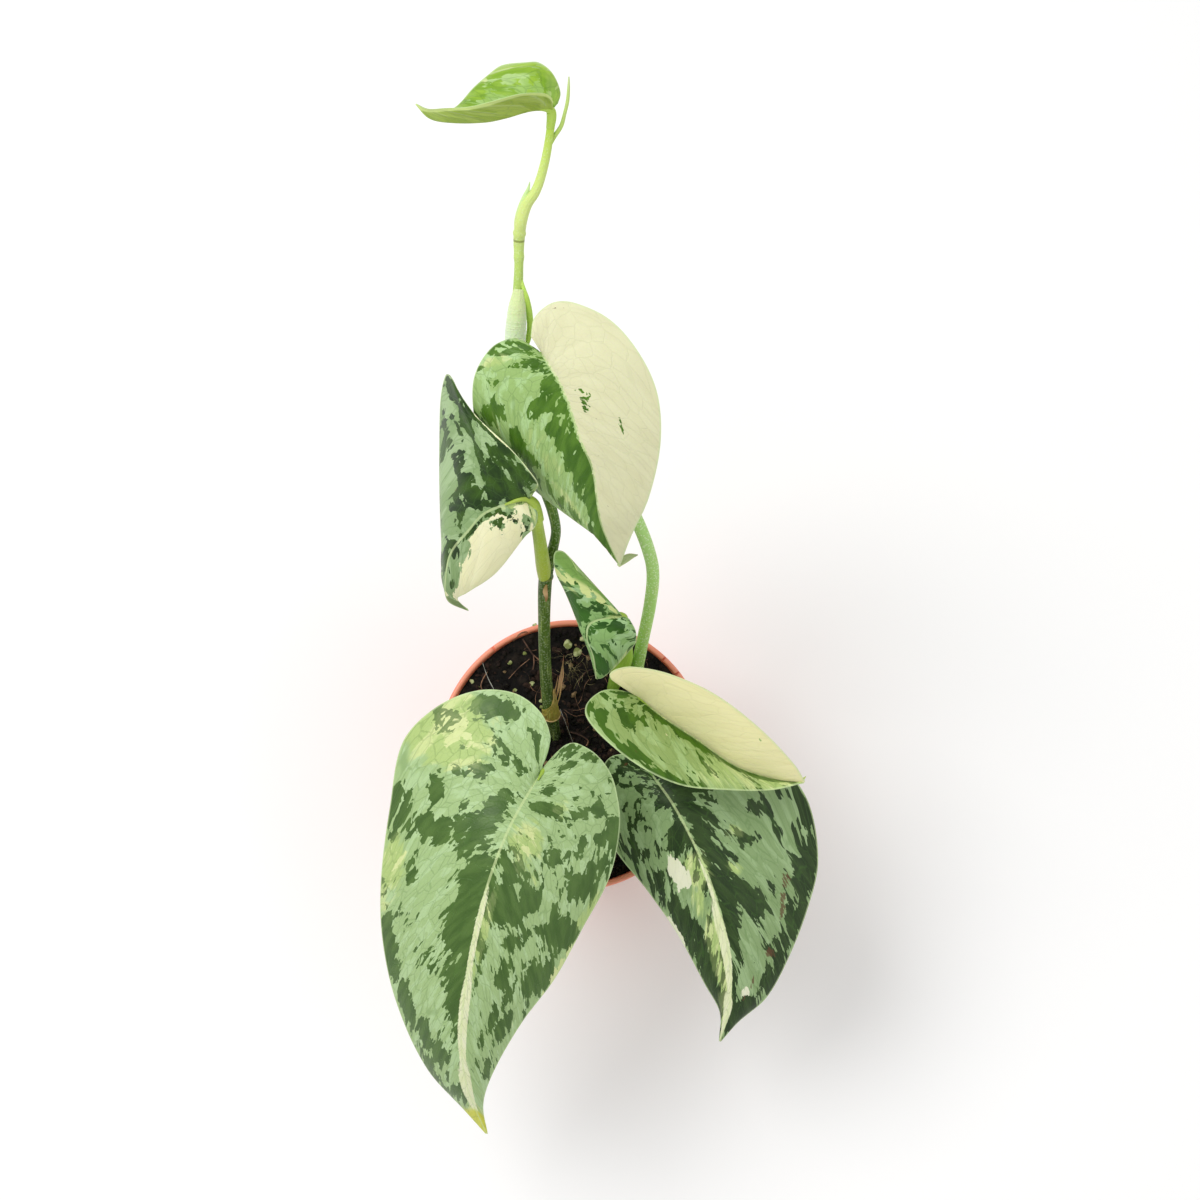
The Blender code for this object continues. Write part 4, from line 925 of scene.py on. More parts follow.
# Where the big markings of each leaf lie, in hundredths of the way: along from base to tip, across
# from the midrib to the margins at -100 and 100, half length, half width, and last a strength,
# which clears a spot where it is under 0. The small markings come from the skin.
MARKS = {
    "blade_1": dict(
        ground=(0.09, 0.17),
        dark=[(16, -82, 3.5, 12, 0.8), (24, -85, 2.2, 13, 0.8), (20, -38, 2, 9, 0.7),
              (17, -22, 2, 7, 0.7), (8, -40, 1.4, 22, 0.8), (27, -38, 3, 7, 0.6),
              (36, -60, 2.5, 9, 0.7), (30, -53, 1, 5, 0.6), (42, -60, 2.5, 20, 0.8),
              (40, -25, 5, 12, 0.8), (32, -12, 6, 9, 0.7), (50, -10, 7, 13, 0.9), (60, -12, 7, 14, 0.9),
              (69, -10, 7, 12, 0.8), (76, -8, 4, 9, 0.6), (50, -68, 2, 5, 0.6), (42, -90, 3.5, 10, 0.8),
              (54, -98, 1.2, 5, 0.6), (58, -75, 1.6, 12, 0.6), (64, -92, 5, 11, 0.9),
              (73, -80, 4, 13, 0.8), (78, -62, 3, 12, 0.7), (65, -40, 2, 10, 0.6), (68, -25, 2, 8, 0.6),
              (82, -40, 3, 15, 0.7), (90, -40, 2, 30, 0.7), (86, -85, 6, 15, 0.7),
              (6, 80, 1.6, 20, 0.7), (10, 88, 1.2, 10, 0.6), (10, 45, 1.2, 16, 0.6),
              (18, 20, 1.8, 9, 0.7), (25, 25, 2, 20, 0.6), (24, 52, 1.8, 10, 0.6), (21, 74, 3, 7, 0.7),
              (27, 93, 3, 10, 0.8), (31, 62, 2, 5, 0.6), (29, 82, 1.2, 8, 0.6), (34, 86, 3, 10, 0.6),
              (36.5, 43, 1.8, 7, 0.8), (35, 54, 2.2, 3, 0.7), (40, 76, 3, 12, 0.7), (43, 12, 4, 9, 0.7),
              (51, 20, 4, 15, 0.9), (47, 38, 2.2, 10, 0.8), (50, 82, 3.5, 18, 0.8),
              (53, 50, 1.6, 5, 0.6), (57, 35, 1.4, 10, 0.6), (63, 43, 3, 9, 0.7), (60, 82, 4, 15, 0.8),
              (66, 58, 3, 6, 0.7), (71, 50, 3, 7, 0.7), (73, 74, 3, 10, 0.6), (77, 40, 2, 8, 0.6),
              (82, 75, 2, 12, 0.6), (61, 12, 2, 3, 0.6), (68, 12, 2.5, 3, 0.6)],
        streak=[(60, 1, 12, 3, 0.8), (79, 3, 12, 7, 1.0), (91, 6, 7, 20, 1.0)],
        plain=[(100, 0, 5.5, 300, 1.0)],
        cream=[(24, -66, 3, 22, 0.5), (49, -86, 2, 12, 0.5), (55, 99, 5, 5, 0.8), (36, 18, 3, 5, 0.5)],
        lime=[(25, -76, 6.5, 30, 1.0), (50, -88, 4.5, 14, 0.8), (55, -96, 3, 8, 0.6),
              (36, 16, 7, 13, 0.7), (42, 40, 3, 10, 0.4), (43, 97, 4, 7, 0.7), (24, 36, 4, 10, 0.5),
              (97, 0, 4, 150, 1.0), (58, 8, 10, 4, 0.8)]),
    "blade_2": dict(
        ground=(0.42, 0.36),
        dark=[(10, -40, 6, 60, 0.2), (43, -18, 3, 15, 0.6), (50, -76, 3, 13, 0.4),
              (60, -76, 4, 13, 0.5), (66, -66, 3, 16, 0.6), (73, -68, 5, 20, 0.6),
              (80, -76, 5, 20, 0.6), (88, -82, 5, 25, 0.6), (67.5, -25, 1.2, 5, 0.6),
              (25, 13, 9, 18, 0.6), (37, 10, 7, 13, 0.5), (47, 6, 5, 8, 0.5), (54, 10, 4, 13, 0.6),
              (61, 22, 3, 20, 0.6), (64, 42, 2.5, 10, 0.5), (71, 10, 5, 10, 0.6), (33, 26, 2, 7, 0.4),
              (39.5, 30, 1.2, 7, 0.4), (47, 42, 1.8, 7, 0.5), (40, 60, 3, 12, 0.5), (46, 66, 2, 6, 0.4),
              (58, 56, 2, 4, 0.4), (44, 93, 7, 9, 0.5), (55, 91, 6, 11, 0.6), (66, 91, 5, 11, 0.6),
              (74, 74, 3, 14, 0.5), (80, 85, 5, 16, 0.6), (82, 12, 5, 12, 0.5), (92, 55, 5, 50, 0.7),
              (22, -55, 3, 12, -0.3), (28, -62, 2, 12, -0.25), (36, -24, 3.5, 10, -0.45),
              (38, -62, 2, 14, -0.25), (46, -62, 2, 8, -0.35), (62, -33, 5, 12, -0.6),
              (36, 45, 5, 16, -0.4), (43, 52, 3, 12, -0.4), (54, 45, 4, 18, -0.45),
              (42, 78, 2.5, 8, -0.4), (66, 62, 4, 10, -0.4), (74, 34, 5, 13, -0.5),
              (78, 54, 3, 9, -0.4), (47, 93, 1, 5, -0.6), (64, 85, 2, 3, -0.5), (85, 28, 3, 10, -0.4)],
        streak=[(62, -3, 10, 3, 0.8), (80, -8, 14, 10, 1.0), (93, -20, 6, 30, 1.0)],
        cream=[(52, -39, 4.2, 12, 1.1), (64, -98, 5, 5, 0.9), (86, 38, 1.2, 10, 0.7)],
        lime=[(54, -13, 5, 15, 1.0), (62, -30, 5, 14, 0.6), (78, -30, 9, 20, 1.1), (45, 34, 2, 8, 0.6),
              (55, 25, 2, 7, 0.6), (90, -40, 5, 40, 0.9)],
        scorch=[(58, 70, 1.5, 3, 0.75), (62, 69, 1.5, 2, 0.9), (65, 71, 2, 2.5, 0.9),
                (75, 67, 1.2, 7, 0.75), (83, 48, 1.5, 2, 0.85), (87, 40, 1, 4, 0.6),
                (10, -62, 1.5, 4, 0.6)]),
    "blade_3": dict(
        ground=(0.0, 0.25), cream_half=True,
        # The four strong dark spots 7 to 18 hundredths across, beside the midrib on the green half, are
        # the leaf's dark green and a painted shadow in the fold along the midrib.
        dark=[(27, 46, 4.5, 16, 0.45), (33, 27, 2.5, 10, 0.4), (12, 45, 6, 40, 0.25),
              (22, 78, 4, 10, 0.4), (15, 88, 4, 10, 0.4), (30, 88, 5, 8, 0.45), (39, 88, 5, 8, 0.45),
              (50, 93, 6, 6, 0.45), (60, 95, 5, 5, 0.4), (35, 7, 15, 7, 0.75), (60, 9, 12, 9, 0.75),
              (78, 11, 10, 11, 0.75), (90, 18, 7, 18, 0.75), (45, 45, 10, 20, -0.15),
              (40, 60, 6, 20, -0.2)],
        lime=[(42, 55, 6, 25, 0.3), (76, 55, 16, 50, 0.6), (93, 50, 8, 100, 0.9)],
        cream=[(45, 30, 2, 3, 0.4), (73.5, -85, 0.6, 1.8, -1.2)],
        scorch=[(73.5, -85, 0.4, 1.5, 0.6)]),
    "blade_4": dict(
        ground=(0.12, 0.42), cream_half=True,
        dark=[(37, 87, 2.5, 9, 0.6), (35, 70, 2.5, 9, 0.6), (41, 62, 1, 7, 0.5), (26, 93, 5, 5, 0.6),
              (36, 42, 1.2, 14, 0.7), (20, 50, 5, 15, 0.6), (24, 16, 8, 16, 0.7), (34, 14, 5, 12, 0.6),
              (12, 70, 5, 20, 0.4), (45, 50, 1, 5, 0.5), (50, 44, 1.8, 12, 0.7), (48, 26, 2.5, 12, 0.7),
              (45, 12, 4, 9, 0.6), (57, 26, 2, 9, 0.6), (62, 40, 1.5, 8, 0.5), (46, 90, 3, 3, 0.5),
              (56, 85, 2, 5, 0.4), (70, 30, 2, 10, 0.4), (22, 38, 1.5, 8, -0.8), (31, 55, 2, 14, -0.5),
              (40, 40, 1.5, 20, -0.5), (39, 75, 1.2, 5, -0.5), (44, 66, 1.5, 12, -0.5),
              (55, 55, 3, 15, -0.5), (52, 6, 6, 5, -0.5), (66, 45, 5, 30, -0.4), (21, 14, 0.8, 5, -0.5),
              (35, -22, 6, 16, 0.48), (28, -33, 3, 12, 0.4), (20, -60, 3.5, 22, 0.45),
              (25, -85, 3, 14, 0.45), (50, -5, 14, 3.5, 0.6), (68, -8, 3, 8, 0.6),
              (80, -38, 2, 10, 0.6), (76, -12, 2, 6, 0.5)],
        cream=[(17, 100, 14, 3, 0.8), (38, -24, 5, 15, -0.66), (30, -16, 6, 17, -0.7),
               (28, -36, 3, 13, -0.6), (20, -62, 4.5, 26, -0.66), (23, -92, 5, 16, -0.66),
               (9, -50, 5, 80, -1.0), (35, -3, 38, 5.5, -1.0), (66, -16, 6, 15, -1.0),
               (79, -25, 8, 30, -1.1), (96, 0, 6, 150, -1.5)],
        lime=[(10, -50, 5, 50, 0.6), (24, -5, 10, 5, 0.8), (2, 30, 3, 100, 0.8), (16, -70, 2, 20, 0.5)],
        plain=[(95, 0, 5, 150, 1.0)]),
    "blade_5": dict(
        ground=(0.0, 0.42), cream_half=True,
        dark=[(8, 60, 4, 40, 0.2), (18, 20, 5, 12, 0.3), (36, 80, 3.5, 10, 0.5), (38, 60, 3, 6, 0.5),
              (40, 24, 3, 9, 0.5), (38, 7, 10, 8, 0.4), (50, 55, 4, 8, 0.7), (56, 56, 3, 6, 0.7),
              (50, 20, 2.5, 5, 0.5), (56, 12, 3.5, 8, 0.6), (66, 10, 6, 12, 0.7), (72, 26, 3, 7, 0.6),
              (80, 10, 6, 16, 0.7), (89, 30, 5, 40, 0.6), (25, 62, 1, 4, 0.8), (47, 5, 10, 4, 0.4),
              (17, 85, 1.2, 12, 0.3), (15.5, 70, 1.4, 22, -0.8), (13, 42, 1, 7, -0.6),
              (28, 42, 5.5, 20, -0.7), (25, 90, 4.5, 7, -0.7), (39, 44, 3.5, 8, -0.6),
              (45, 22, 1.8, 4, -0.6), (52, 40, 6, 11, -0.7), (63, 38, 6, 12, -0.7),
              (71, 42, 4, 12, -0.6), (78, 38, 2.5, 12, -0.6), (43, -18, 6, 10, 0.75),
              (53, -52, 4, 5, 0.75)],
        cream=[(42, -18, 4.5, 7, -0.52), (45, -17, 3, 4, -0.6), (53, -52, 3, 2, -0.62)],
        lime=[(15.5, 70, 3, 25, 0.6), (50, 40, 5, 12, 0.4), (60, 40, 5, 12, 0.5), (40, 70, 5, 3, 0.6),
              (75, 55, 10, 10, 0.6)],
        scorch=[(11, -88, 0.6, 1.2, 0.75), (13.5, -88, 0.6, 1.2, 0.8), (2, 10, 2, 30, 0.3)]),
    "blade_6": dict(
        ground=(0.45, 0.42),
        dark=[(30, -30, 10, 25, 0.4), (80, -30, 10, 40, 0.4), (45, 50, 8, 40, 0.4),
              (48, -30, 5, 12, -0.8), (40, -62, 3.5, 10, -0.8), (53, -76, 4, 12, -0.8),
              (66, -60, 3, 12, -0.8), (60, -20, 4, 6, -0.7), (25, -76, 3, 8, -0.7),
              (38, -6, 3, 5, -0.5), (70, -85, 5, 12, -0.6)],
        cream=[(27, 95, 3, 16, 0.9), (23.5, 74, 3, 14, 0.9), (20, 52, 4.5, 14, 0.9),
               (14, 32, 5.5, 11, 0.9), (7, 16, 6, 8, 0.9), (22, 62, 1.2, 3, -0.8),
               (17, 36, 1.4, 3, -0.8), (24, 80, 0.8, 3, -0.6)],
        lime=[(12, -3, 10, 7, 0.9), (62, -98, 25, 5, 0.9), (30, 70, 2, 40, 0.6)],
        plain=[(2, 85, 17, 45, 1.0)]),
    "blade_7": dict(
        ground=(0.55, 0.62),
        dark=[(25, 42, 3.5, 10, -0.6), (33, 55, 2, 10, -0.5), (42, 62, 3, 12, -0.6),
              (37, 34, 3, 7, -0.5), (56, 40, 4, 12, -0.6), (50, 30, 2, 8, -0.5), (54, 80, 3, 6, -0.4),
              (16, 40, 3, 12, -0.4)],
        cream=[(10, 30, 6, 12, 0.3)],
        lime=[(10, 80, 12, 50, 0.7), (85, 50, 15, 100, 0.9), (45, 93, 20, 8, 0.6)])}


PATCH_CELLS = (33.0, 68.0)
NET_CELLS = (26.0, 62.0)
NET_SHOWN = 0.80
GRAINS_PER_METRE = 3600.0
LIME_TONES = ((172, 195, 120), (200, 213, 146))
CREAM_TONES = ((222, 216, 158), (234, 231, 184))
STREAK_TONES = ((212, 222, 160), (236, 236, 208))
PLAIN_TONE = (118, 158, 70)
VEIN_TONE = (70, 110, 40)
MIDRIB_TONE = (205, 220, 160)
MARGIN_TONE = (200, 220, 165)
BURNT_TONE = (92, 62, 36)
UNDER_TONES = {"cream": (222, 222, 172), "vein": (176, 196, 130), "net": (100, 136, 66),
               "rim": (196, 216, 124)}
LEAF_FLESH = {"Subsurface Weight": 0.06, "Subsurface Radius": (0.001, 0.0015, 0.0004)}


def mark_of(tree, kind):
    return wire(tree, "ShaderNodeAttribute", attribute_name=kind).outputs["Fac"]


def pushed(tree, start, by, reach):
    """A place on the skin, pushed about by a coloured cloud."""
    return wire(tree, "ShaderNodeVectorMath", {0: by["Color"], 1: (reach, reach, 0.0), 2: start},
                operation="MULTIPLY_ADD").outputs[0]


def satin_skin(name, dark_tones, sage_tones, crisp=0.012, plain=PLAIN_TONE, stir=1.3, fine=1.0,
               cream_tones=CREAM_TONES):
    """The upper skin: silver patches with jagged edges on green, cream and lime sectors, fine veins."""
    made, tree, shader = blank_finish(name)
    skin = wire(tree, "ShaderNodeUVMap", uv_map="vein_map").outputs[0]
    parts = wire(tree, "ShaderNodeSeparateXYZ", {0: skin}).outputs

    def lay(stretch, seed):
        """The skin's own plane, stretched along the side veins."""
        drawn_in = times(tree, parts["Y"], stretch)
        return wire(tree, "ShaderNodeCombineXYZ", {0: parts["X"], 1: drawn_in, 2: seed}).outputs[0]

    ragged = clouds(tree, lay(1.1, 3.0), 100.0, 1.0)
    bent = pushed(tree, lay(0.95, 0.0), ragged, 0.010)
    draws = []
    for scale in PATCH_CELLS:
        drawn = cells(tree, bent, scale * fine, feature="F1", voronoi_dimensions="2D")
        draws.append(wire(tree, "ShaderNodeSeparateColor", {0: drawn["Color"]}).outputs)

    def jagged(mark, broad, reach, large, small, channel, edge=crisp):
        """1 where the mark, broken up by clouds and by whole vein cells, passes a half."""
        value = sums(tree, "MULTIPLY_ADD", sums(tree, "SUBTRACT", broad["Fac"], 0.5), reach, mark)
        for draw, amount in zip(draws, (large, small)):
            centred = sums(tree, "SUBTRACT", draw[channel], 0.5)
            value = sums(tree, "MULTIPLY_ADD", centred, amount, value)
        return soft_step(tree, value, 0.5 - edge, 0.5 + edge)

    is_dark = jagged(mark_of(tree, "dark"), clouds(tree, lay(0.95, 1.0), 19.0 * fine, 1.5),
                     stir, 0.46, 0.34, 0)
    is_pale_sage = jagged(0.44, clouds(tree, lay(0.7, 5.0), 18.0, 1.0), 1.1, 0.26, 0.10, 1, 0.07)
    is_lime = jagged(mark_of(tree, "lime"), clouds(tree, lay(0.35, 9.0), 38.0, 2.0),
                     1.1, 0.14, 0.10, 2, 0.16)
    is_cream = jagged(mark_of(tree, "cream"), clouds(tree, lay(0.4, 14.0), 30.0, 1.0),
                      0.8, 0.36, 0.26, 1, 0.02)
    soft = clouds(tree, lay(0.7, 21.0), 20.0, 2.0)["Fac"]
    dark = tones(tree, soft_step(tree, soft, 0.35, 0.65), dark_tones)
    green = shade_between(tree, is_dark, tones(tree, is_pale_sage, sage_tones), dark)
    lime = shade_between(tree, times(tree, is_dark, 0.75), tones(tree, is_pale_sage, LIME_TONES), dark)
    colour = shade_between(tree, is_lime, green, lime)
    colour = shade_between(tree, is_cream, colour, tones(tree, soft, cream_tones))
    frayed = sums(tree, "MULTIPLY_ADD", sums(tree, "SUBTRACT", ragged["Fac"], 0.5), 0.3,
                  mark_of(tree, "streak"))
    is_streak = soft_step(tree, frayed, 0.42, 0.56)
    colour = shade_between(tree, is_streak, colour, tones(tree, soft, STREAK_TONES))
    is_plain = soft_step(tree, mark_of(tree, "plain"), 0.4, 0.6)
    colour = shade_between(tree, is_plain, colour, tint(*plain))

    on_green = sums(tree, "MULTIPLY_ADD", is_cream, -0.85, 1.0)
    side_vein = times(tree, soft_step(tree, mark_of(tree, "vein"), 0.45, 0.1), on_green)
    veined = shade_between(tree, 0.35, colour, tint(*VEIN_TONE))
    colour = shade_between(tree, times(tree, side_vein, 0.40), colour, veined)
    warped = pushed(tree, skin, clouds(tree, skin, 90.0, 1.0), 0.006)
    net, fine_net = (cells(tree, warped, scale, feature="DISTANCE_TO_EDGE")["Distance"]
                     for scale in NET_CELLS)
    net_line = sums(tree, "MAXIMUM", soft_step(tree, net, 0.045, 0.01),
                    times(tree, soft_step(tree, fine_net, 0.07, 0.01), 0.35))
    shown = times(tree, times(tree, net_line, on_green), NET_SHOWN)
    colour = shade_between(tree, shown, colour, veined)
    mid_line = soft_step(tree, sums(tree, "ABSOLUTE", parts["Y"]), 0.0048, 0.0030)
    light = shade_between(tree, 0.65, colour, tint(*MIDRIB_TONE))
    colour = shade_between(tree, times(tree, mid_line, 0.8), colour, light)
    rim_line = soft_step(tree, mark_of(tree, "rim"), 0.62, 0.2)
    rim = shade_between(tree, 0.55, colour, tint(*MARGIN_TONE))
    colour = shade_between(tree, rim_line, colour, rim)
    burnt = jagged(mark_of(tree, "scorch"), clouds(tree, lay(0.8, 17.0), 110.0, 2.0),
                   1.2, 0.1, 0.4, 0, 0.05)
    colour = shade_between(tree, times(tree, burnt, 0.8), colour, tint(*BURNT_TONE))

    coloured(tree, shader, colour, LEAF_FLESH | {"Specular IOR Level": 0.28})
    matte = sums(tree, "MULTIPLY_ADD", is_dark, -0.10, 0.50)
    tree.links.new(matte, shader.inputs["Roughness"])
    grain = cells(tree, own_place(tree), GRAINS_PER_METRE, feature="F1")["Distance"]
    relief = sums(tree, "ADD", times(tree, net_line, -0.45), times(tree, grain, 0.12))
    raised(tree, shader, relief, 0.00016, 0.7)
    return made


def under_skin(name, tone, patch, band=0.4):
    """The pale lower skin: faint patches, raised side veins, a net of veins and a yellowish rim."""
    made, tree, shader = blank_finish(name)
    skin = wire(tree, "ShaderNodeUVMap", uv_map="vein_map").outputs[0]
    cloud = clouds(tree, skin, 16.0, 3.0)["Fac"]
    colour = tones(tree, soft_step(tree, cloud, 0.46, 0.56), (tone, patch))
    cream = soft_step(tree, mark_of(tree, "cream"), 0.4, 0.6)
    colour = shade_between(tree, cream, colour, tint(*UNDER_TONES["cream"]))
    line = times(tree, soft_step(tree, mark_of(tree, "vein"), 0.7, 0.1), 0.5)
    colour = shade_between(tree, line, colour, tint(*UNDER_TONES["vein"]))
    net = cells(tree, skin, 42.0, feature="DISTANCE_TO_EDGE")["Distance"]
    net_line = soft_step(tree, net, 0.08, 0.01)
    colour = shade_between(tree, times(tree, net_line, 0.25), colour, tint(*UNDER_TONES["net"]))
    rim_line = soft_step(tree, mark_of(tree, "rim"), band, 0.6 * band)
    colour = shade_between(tree, rim_line, colour, tint(*UNDER_TONES["rim"]))
    coloured(tree, shader, colour, LEAF_FLESH | {"Roughness": 0.55})
    raised(tree, shader, net_line, 0.0001, 0.6)
    return made


older = satin_skin("satin_leaf", ((64, 94, 36), (82, 112, 50)), ((160, 187, 128), (173, 200, 146)),
                   stir=1.0, plain=(204, 206, 70), cream_tones=((200, 212, 140), (214, 222, 164)))
shaded = satin_skin("satin_leaf_shaded", ((28, 50, 12), (48, 70, 28)),
                    ((134, 160, 108), (150, 176, 126)), fine=1.15,
                    cream_tones=((214, 218, 184), (230, 230, 204)))
folded = satin_skin("satin_leaf_folded", ((28, 54, 12), (56, 88, 18)),
                    ((136, 164, 110), (158, 184, 134)), plain=(128, 148, 96), fine=1.1,
                    cream_tones=((238, 234, 180), (248, 246, 208)))
olive = satin_skin("satin_leaf_olive", ((50, 84, 6), (72, 110, 20)),
                   ((144, 168, 98), (160, 186, 120)), cream_tones=((226, 220, 162), (236, 232, 180)))
bright = satin_skin("satin_leaf_bright", ((60, 100, 14), (84, 124, 34)),
                    ((154, 186, 112), (172, 204, 140)), fine=1.25, stir=1.15,
                    cream_tones=((208, 206, 164), (222, 222, 184)))
small = satin_skin("satin_leaf_small", ((36, 76, 14), (54, 100, 26)),
                   ((140, 178, 108), (162, 196, 140)), fine=1.2, plain=(124, 162, 78),
                   cream_tones=((196, 210, 128), (218, 226, 156)))
young = satin_skin("young_leaf", ((116, 158, 34), (146, 182, 52)), ((150, 186, 92), (172, 202, 128)),
                   crisp=0.10)
under = under_skin("leaf_underside", (124, 152, 84), (140, 168, 104))
young_under = under_skin("young_underside", (140, 166, 46), (158, 182, 70), 1.9)
SKINS = {"blade_1": (older, under), "blade_2": (shaded, under), "blade_3": (olive, under),
         "blade_4": (folded, under), "blade_5": (bright, under), "blade_6": (small, under),
         "blade_7": (young, young_under)}
for name, leaf in LEAVES.items():
    blade = leaf_piece(name, leaf, SKINS[name], MARKS[name])
    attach(blade, "root")
    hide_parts(name)


# Curled tips: the drawn-out ends of the top leaf and of the folded right leaf, where the thin green
# margin has rolled in on itself as it dried a little.

TIP_CURLS = [
    [(14.5, 46.9, 159.4, 0.5), (16.2, 48.8, 159.2, 1.2), (18.0, 49.9, 158.8, 1.0),
     (20.3, 50.5, 158.2, 0.15)],
    [(71.2, -13.2, 115.2, 0.4), (72.2, -12.0, 115.8, 0.4), (73.0, -11.1, 116.2, 0.1)]]
curl_skin = stem_skin("curl_skin", 115.0, 160.0, [
    (0.0, (190, 206, 120)), (0.9, (150, 172, 112)), (1.0, (176, 192, 136))], 0.0)
curls = piece_from("curled_tips", tubes(TIP_CURLS, 30, 12, squash=0.35), curl_skin)
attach(curls, "root")


# Sheaths: the pale one wrapped round the upper vine, still fresh, with rolled edges beside and above
# it, and the dried papery one left at the lowest node, with its thick lip and frayed wisps. Each is
# a thin open trough of leaf tissue that hugs the stem.

SHEATHS = {
    "pale_sheath": [(-14.3, 96, 179.2, 2.5, 95, 0), (-15.2, 102, 182.6, 2.8, 95, 0),
                    (-15.2, 108.4, 186, 3.0, 95, 0), (-14.6, 115, 189.6, 2.7, 85, 0),
                    (-14, 121, 192.5, 1.9, 45, 0)],
    "dried_sheath": [(-6.9, 12.2, 83.2, 2.9, 112, 0), (-7.1, 13.4, 85.8, 2.8, 115, 4),
                     (-7.3, 14.6, 87.8, 2.6, 80, 30), (-7.6, 16.2, 90.2, 2.6, 34, 55),
                     (-8, 19.2, 94.8, 2.5, 10, 64)]}
SHEATH_SKIN = 0.3
SHEATH_EDGES = [
    [(-13.6, 124.0, 194.6, 0.4), (-12.6, 120.6, 193.4, 0.6), (-11.8, 118.2, 192.0, 0.8),
     (-11.2, 115.3, 189.0, 0.95), (-11.0, 112.0, 185.5, 0.95), (-11.6, 109.0, 183.0, 0.8),
     (-12.5, 106.0, 181.0, 0.4)],
    [(-14.2, 134.2, 200.2, 0.9), (-13.8, 137.0, 203.0, 1.25), (-13.0, 139.8, 205.4, 1.15),
     (-11.9, 142.5, 207.6, 0.8), (-10.9, 144.4, 209.2, 0.45), (-10.4, 146.0, 210.4, 0.1)]]
WISPS = [
    [(-6.2, 14.3, 88.0, 0.25), (-4.8, 17.7, 92.0, 0.3), (-3.8, 21.7, 96.0, 0.45),
     (-3.0, 25.2, 100.0, 0.25), (-2.4, 28.7, 104.0, 0.08)],
    [(-5.2, 14.4, 87.5, 0.3), (-4.0, 17.2, 91.0, 0.25), (-3.4, 20.4, 95.0, 0.3),
     (-2.7, 23.4, 98.6, 0.2), (-2.9, 27.0, 102.0, 0.06)],
    [(-7.2, 14.3, 88.0, 0.25), (-6.2, 16.8, 91.0, 0.2), (-5.1, 20.0, 94.0, 0.2),
     (-4.4, 22.9, 97.0, 0.06)],
    [(-9.2, 14.4, 87.0, 0.3), (-9.8, 16.8, 89.0, 0.2), (-10.1, 19.1, 91.0, 0.06)]]
LIP_RADIUS = 0.26


def trough(route, rows, columns, ragged):
    """Outer and inner skins of an open trough round a route of (x, y, z, radius, half angle, lean)."""
    knots = np.array(route, float)
    shares = np.linspace(0.0, 1.0, rows)
    spots = spline(knots, shares)
    ahead = unit(np.gradient(spots[:, :3], axis=0))
    upward = upward_of(ahead)
    aside = np.cross(ahead, upward)
    turn = np.radians(spots[:, 5:6] + np.linspace(-1.0, 1.0, columns)[None, :] * spots[:, 4:5])
    out = upward[:, None] * np.cos(turn)[:, :, None] + aside[:, None] * np.sin(turn)[:, :, None]
    bumps = np.array([[noise.noise(Vector((s * 7.0, c * 0.25, 3.0))) for c in range(columns)]
                      for s in shares])
    radius = spots[:, None, 3:4] + ragged * bumps[:, :, None]
    outer = spots[:, None, :3] + out * radius
    inner = spots[:, None, :3] + out * (radius - SHEATH_SKIN)
    along = shares[:, None] * way_along(route)[-1] / 100
    return outer, inner, np.stack(np.broadcast_arrays(turn * 0.03, along), axis=-1)


sheath_greens = {
    "pale_sheath": stem_skin("pale_sheath_skin", 178.0, 194.0, [
        (0.0, (204, 224, 190)), (0.6, (216, 232, 198)), (1.0, (214, 228, 166))], 0.2),
    "dried_sheath": stem_skin("dried_sheath_skin", 82.0, 96.0, [
        (0.0, (150, 120, 60)), (0.4, (146, 132, 50)), (1.0, (180, 150, 92))], 0.0, 0.6)}
for name, route in SHEATHS.items():
    dried = name == "dried_sheath"
    outer, inner, uvs = trough(route, 60, 40, 0.35 if dried else 0.05)
    uvs = uvs if dried else uvs[:, :, ::-1]
    finish = sheath_greens[name]
    sheath = two_skins(name + "_skin", outer, inner, (finish, finish), {}, uvs, "skin_map")
    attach(sheath, "root")
    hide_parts(name)

edges_skin = stem_skin("sheath_edge_skin", 180.0, 212.0, [
    (0.0, (176, 212, 96)), (0.4, (188, 222, 100)), (0.6, (216, 232, 150)), (1.0, (200, 230, 160))],
    0.1)
sheath_edges = piece_from("sheath_edges", tubes(SHEATH_EDGES, 50, 14, squash=0.6), edges_skin)
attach(sheath_edges, "root")

wisp_skin = stem_skin("wisp_skin", 80.0, 104.0, [
    (0.0, (220, 196, 150)), (0.3, (184, 152, 92)), (0.7, (206, 160, 122)), (1.0, (140, 92, 76))],
    0.0, 0.8)
frayed_parts = tubes(WISPS, 40, 8, squash=0.4)
tube([(*spot, LIP_RADIUS) for spot in outer[0, ::3].tolist()], 60, 10, built=frayed_parts)
wisps = piece_from("dried_wisps", frayed_parts, wisp_skin)
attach(wisps, "root")


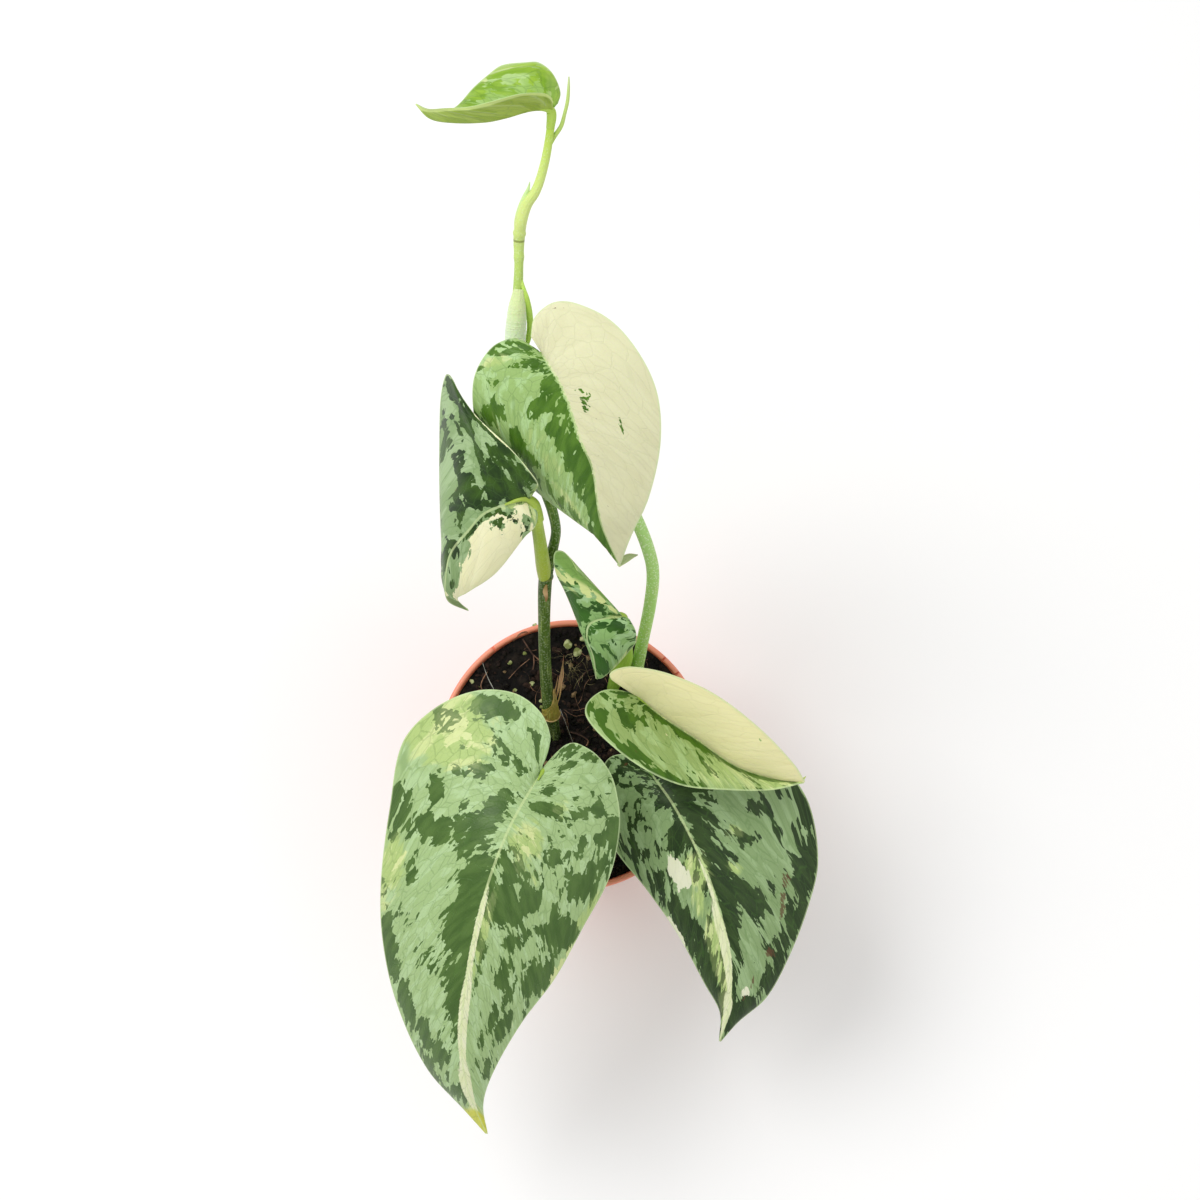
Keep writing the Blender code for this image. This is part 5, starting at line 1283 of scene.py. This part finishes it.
# Floor, light and camera: a plain pale floor under a soft white room, one large soft light high at
# the left and a weak one at the right, and a camera that looks almost straight down.

FLOOR_REACH = 3.0
FLOOR_DROP = 0.0002
ROOM_STRENGTH = 0.66
LIGHT_AIM = Vector((0.0, 0.0, 0.12))
KEY_LIGHT = ((-0.55, 0.35, 1.1), 0.7, 8.0)
FILL_LIGHT = ((0.8, -0.5, 0.9), 1.0, 2.4)
CAMERA_PLACE = (0.0091, -0.068, 0.7535)
CAMERA_TILT = 10.0
LENS_LENGTH = 61.65
SENSOR_WIDTH = 36.0

floor_paint, _, floor_shader = blank_finish("pale_floor")
floor_shader.inputs["Base Color"].default_value = (0.94, 0.94, 0.935, 1.0)
floor_shader.inputs["Roughness"].default_value = 0.9
floor_mesh = bpy.data.meshes.new("floor")
corners = [(x * FLOOR_REACH, y * FLOOR_REACH, 0) for x, y in ((-1, -1), (1, -1), (1, 1), (-1, 1))]
floor_mesh.from_pydata(corners, [], [(0, 1, 2, 3)])
floor_mesh.materials.append(floor_paint)
floor = in_scene("floor", floor_mesh)
floor.location.z = -FLOOR_DROP

room = bpy.data.worlds.new("white_room")
room.use_nodes = True
room.node_tree.nodes["Background"].inputs["Color"].default_value = (1.0, 1.0, 1.0, 1.0)
room.node_tree.nodes["Background"].inputs["Strength"].default_value = ROOM_STRENGTH
bpy.context.scene.world = room


def soft_light(name, place, size, power):
    lamp = bpy.data.lights.new(name, "AREA")
    lamp.shape = "DISK"
    lamp.size = size
    lamp.energy = power
    made = in_scene(name, lamp)
    made.location = place
    made.rotation_euler = (LIGHT_AIM - Vector(place)).to_track_quat("-Z", "Y").to_euler()
    return made


soft_light("key_light", *KEY_LIGHT)
soft_light("fill_light", *FILL_LIGHT)

camera_data = bpy.data.cameras.new("camera")
camera_data.lens = LENS_LENGTH
camera_data.sensor_width = SENSOR_WIDTH
camera = in_scene("camera", camera_data)
camera.location = CAMERA_PLACE
camera.rotation_euler = (math.radians(CAMERA_TILT), 0.0, 0.0)
bpy.context.scene.camera = camera
bpy.context.scene.view_settings.view_transform = "Standard"
